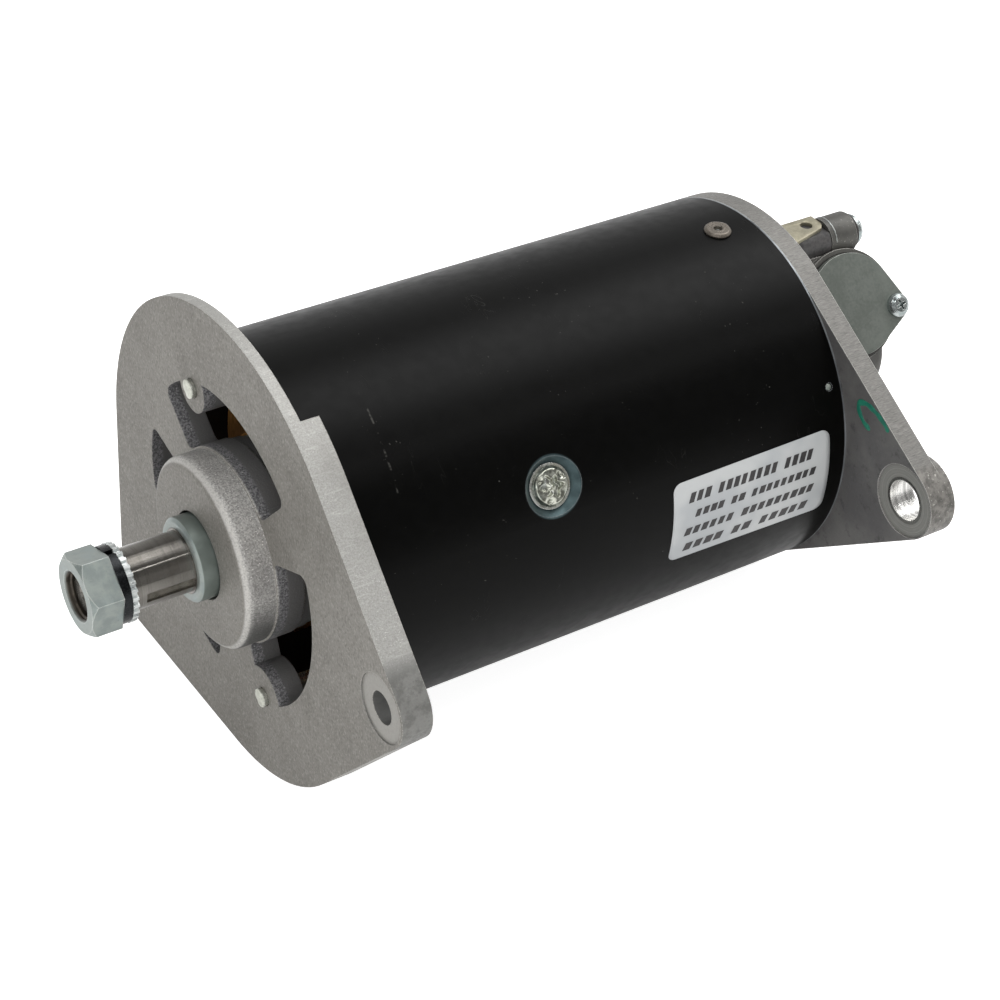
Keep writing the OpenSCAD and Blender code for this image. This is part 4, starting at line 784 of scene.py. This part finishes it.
def screw_star(r, a):
    """Socket with an uneven star, and three stake marks over its rim."""
    rim_end, least = 4.2, 0.04
    star = 2.45 + 0.55 * math.cos(6 * a + 0.5) + 0.35 * math.cos(2 * a + 1.1)
    floor = 0.10 + 0.55 * math.exp(-((r / 0.9) ** 2)) + 0.08 * math.cos(3 * a + r)
    rim = 1.22 + 0.14 * math.sin(3 * a + 0.8) + 0.06 * math.cos(5 * a)
    h = floor + (rim - floor) * ease((r - star + 0.25) / 0.5)
    for at, deep in ((0.6, 0.85), (2.5, 0.7), (4.4, 0.95)):
        h -= deep * dent(r, a, 3.9, at, 0.75, 0.26)
    return max(least, h * (1 - 0.94 * ease((r - rim_end) / 0.9)))


def peened(r, a):
    """Flattened bolt end with two chisel dents."""
    h = 0.34 - 0.16 * ease((r - 1.5) / 0.95) + 0.03 * math.sin(3 * a + r)
    for at in (0.9, 3.9):
        h -= 0.20 * dent(r, a, 2.0, at, 0.55, 0.3)
    return h


def mandrel(r, a):
    """Broken end of the rivet's pull stem."""
    return 0.15 + 0.45 * ease((0.95 - r) / 0.5) + 0.12 * math.cos(a + 0.6) * r


def dome(r, _):
    """Low round head of the locating peg."""
    return 0.55 * math.sqrt(max(0.0, 1.02 - r * r)) + 0.05


def rivet_dish():
    """Dished flange of the blind rivet with a raised rim and a lip round its hole."""
    lift, steps = 51.7, 64
    out = outward(RIVET_ANGLE)
    side = out.cross(X_AXIS)
    centre = around(RIVET_X, RIVET_ANGLE, lift)
    rings = []
    for i in range(steps):
        a = FULL_TURN * i / steps
        flat = X_AXIS * math.cos(a) + side * math.sin(a)
        wave = 0.03 * math.sin(3 * a + 1) + 0.02 * math.sin(5 * a)
        profile = ((1.24, -0.10), (1.30, 0.22 + wave), (1.62, 0.14), (2.30, 0.06), (2.80, 0.20 + wave),
                   (3.15, 0.12 + wave), (3.62, -0.42), (3.68, -0.80), (2.70, -0.30))
        rings.append([centre + (flat * r + out * h) * 0.001 for r, h in profile])
    sweep("rivet_dish", rings, own["yoke_rivet"], "stator", smooth=True, loop=True)


def paint_stroke():
    """Hook of green marking paint on the rear plate's front face."""
    film_back, film_front, half_width, steps = 168.19, 168.13, 0.80, 6
    # Points of its middle line: y and z in mm
    keys = [(-57.7, 17.9), (-54.9, 18.8), (-52.7, 20.9), (-52.3, 23.1), (-54.6, 24.3), (-57.1, 24.2), (-59.6, 23.7),
            (-62.5, 22.5), (-64.2, 21.2)]
    path = []
    for i in range(len(keys) - 1):
        p = [Vector(keys[min(max(i + d, 0), len(keys) - 1)]) for d in (-1, 0, 1, 2)]
        for k in range(steps):
            t = k / steps
            path.append(0.5 * (2 * p[1] + (p[2] - p[0]) * t + (2 * p[0] - 5 * p[1] + 4 * p[2] - p[3]) * t * t
                               + (3 * p[1] - p[0] - 3 * p[2] + p[3]) * t**3))
    path.append(Vector(keys[-1]))
    last = len(path) - 1
    rings = []
    for i, p in enumerate(path):
        along = (path[min(i + 1, last)] - path[max(i - 1, 0)]).normalized()
        across = Vector((-along.y, along.x))
        taper = min(1.0, 0.35 + 0.3 * min(i, last - i))
        wide = (half_width + 0.12 * math.sin(i * 0.7)) * taper
        rings.append([mm(x, q.x, q.y) for x, q in (
            (film_back, p - across * wide), (film_front, p - across * wide * 0.8),
            (film_front, p + across * wide * 0.8), (film_back, p + across * wide))])
    sweep("paint_stroke", rings, green_paint, "stator", smooth=True)


def parting_line():
    """Thin bead that the casting mould left round the terminal screw's tower."""
    station, root, crest, first_angle, step, count = 198.7, 5.78, 5.90, -75, 4.0, 61
    rng = random.Random(3)
    y, z = around(0, TOWER_ANGLE, TOWER_RADIUS).yz * 1000
    rings = []
    for i in range(count):
        a = math.radians(first_angle + step * i)
        x = station + rng.uniform(-0.08, 0.08)
        w = 0.16 + rng.uniform(0, 0.08)
        rings.append([mm(x + d, y + r * math.cos(a), z + r * math.sin(a))
                      for d, r in ((-w, root), (-w * 0.5, crest), (w * 0.5, crest), (w, root))])
    sweep("parting_line", rings, rim_metal, "stator", smooth=True)


label_sheet()
label_marks()
for place, angle in POLE_SCREW_ANGLES.items():
    relief("pole_screw_star_" + place, around(POLE_SCREW_X, angle, 48.92), outward(angle), 5.1, screw_star,
           star_metal, rings=28, spokes=120)
for place, angle in BOLT_ANGLES.items():
    relief("bolt_peen_" + place, around(BOLT_END_X, angle, BOLT_RADIUS), -X_AXIS, 2.45, peened, pale_zinc,
           rings=12, spokes=48)
relief("peg_head", around(PEG_X, PEG_ANGLE, 50.25), outward(PEG_ANGLE), 1.0, dome, own["locating_peg"],
       rings=8, spokes=36)
relief("rivet_stem", around(RIVET_X, RIVET_ANGLE, 50.5), outward(RIVET_ANGLE), 1.1, mandrel, rim_metal,
       rings=8, spokes=36)
thread("nut_thread", mm(0, 0, 0), X_AXIS, root=6.04, crest=5.55, start=-27.3, end=-26.1, pitch=1.0,
       material=thread_steel, body="armature")
thread("outlet_thread", Vector((0.1972, 0.0322354, -0.0097534)), Vector((0, -0.81915, 0.57358)), root=8.98,
       crest=9.45, start=1.2, end=11.4, pitch=1.5, material=rim_metal, body="stator")
paint_stroke()
parting_line()
rivet_dish()


# ---------------------------------------------------------------- studio
def stage_floor():
    """Pale plane that carries the front plate's flat and the rear bracket's rim."""
    half_size = 3.0
    a, b, c = mm(16.2, -2.2, -63.55), mm(21, 55.4, -65.45), mm(173, -1.7, -50.85)
    up = (b - a).cross(c - a).normalized()
    up = up if up.z > 0 else -up
    centre = (a + c) / 2
    side = (X_AXIS - up * up.x).normalized()
    other = up.cross(side)
    corners = [centre + side * half_size * i + other * half_size * j
               for i, j in ((-1, -1), (1, -1), (1, 1), (-1, 1))]
    data = bpy.data.meshes.new("stage_floor")
    data.from_pydata([tuple(p) for p in corners], [], [(0, 1, 2, 3)])
    data.update()
    floor = bpy.data.objects.new("stage_floor", data)
    bpy.context.scene.collection.objects.link(floor)

    mat = bpy.data.materials.new("stage_floor")
    s = Shading(mat)
    path = s.node("LightPath").outputs
    # The glow that only the camera sees grows with the distance, so that the white holds where the lamps fall off
    away = s.vec("LENGTH", s.node("TexCoord").outputs["Object"])
    gain = s.node("MapRange", [away, 0.5, 1.6, 0.60, 0.78]).outputs[0]
    glow = s.calc("MULTIPLY_ADD", path["Is Camera Ray"], gain, 0.22)
    # None of it lights the generator's matt surfaces
    seen = s.calc("SUBTRACT", 1.0, path["Is Diffuse Ray"])
    white = s.node("Emission", {"Strength": s.calc("MULTIPLY", glow, seen)})
    cloth = s.node("BsdfDiffuse", {"Color": (0.8, 0.8, 0.8, 1)})
    both = s.node("AddShader", [cloth.outputs[0], white.outputs[0]])
    s.node("OutputMaterial", [both.outputs[0]])
    data.materials.append(mat)


def studio_world():
    """White for the camera, one room for mirror reflections and one that lights the matt surfaces."""
    world = bpy.data.worlds.new("studio")
    bpy.context.scene.world = world
    s = Shading(world)

    def blend(fac, a, b):
        return s.node("Mix", {0: fac, 2: a, 3: b}).outputs[0]

    toward = s.node("TexCoord").outputs["Generated"]
    path = s.node("LightPath").outputs
    # Mirrors see a white backdrop and a dim room on the camera's side. The light is strongest from -Y
    mirrored = s.spread(s.vec("DOT_PRODUCT", toward, AHEAD), -0.75, 0.85, 0.22, 1.0)
    lit = s.spread(s.vec("DOT_PRODUCT", toward, (-0.2, -0.95, 0.24)), -0.2, 1.0, 0.50, 1.15)
    is_mirror = s.calc("MAXIMUM", path["Is Glossy Ray"], path["Is Transmission Ray"])
    strength = blend(path["Is Camera Ray"], blend(is_mirror, lit, mirrored), 1.0)
    back = s.node("Background", {"Strength": strength})
    s.node("OutputWorld", [back.outputs[0]])


def softbox(name, toward, distance, size, radiance):
    """Rectangular lamp in a direction and at a distance from the generator's middle, its first size along X."""
    data = bpy.data.lights.new(name, "AREA")
    data.shape = "RECTANGLE"
    data.size, data.size_y = size
    data.energy = radiance * math.pi * size[0] * size[1]
    obj = bpy.data.objects.new(name, data)
    bpy.context.scene.collection.objects.link(obj)
    back = Vector(toward).normalized()
    first = (X_AXIS - back * back.x).normalized()
    turn = Matrix((first, back.cross(first), back)).transposed()
    obj.matrix_world = Matrix.Translation(MIDDLE + back * distance) @ turn.to_4x4()
    obj.visible_camera = False


def camera():
    """Camera at the place from which the photograph was taken."""
    data = bpy.data.cameras.new("camera")
    data.lens, data.sensor_width = 85.34, 36.0
    data.clip_start, data.clip_end = 0.01, 20
    obj = bpy.data.objects.new("camera", data)
    bpy.context.scene.collection.objects.link(obj)
    turn = Matrix((RIGHT, -DOWN, -AHEAD)).transposed()
    obj.matrix_world = Matrix.Translation(EYE) @ turn.to_4x4()
    bpy.context.scene.camera = obj


stage_floor()
studio_world()
for lamp in LAMPS:
    softbox(*lamp)
camera()
bpy.context.scene.view_settings.view_transform = "Standard"

bpy.context.view_layer.update()
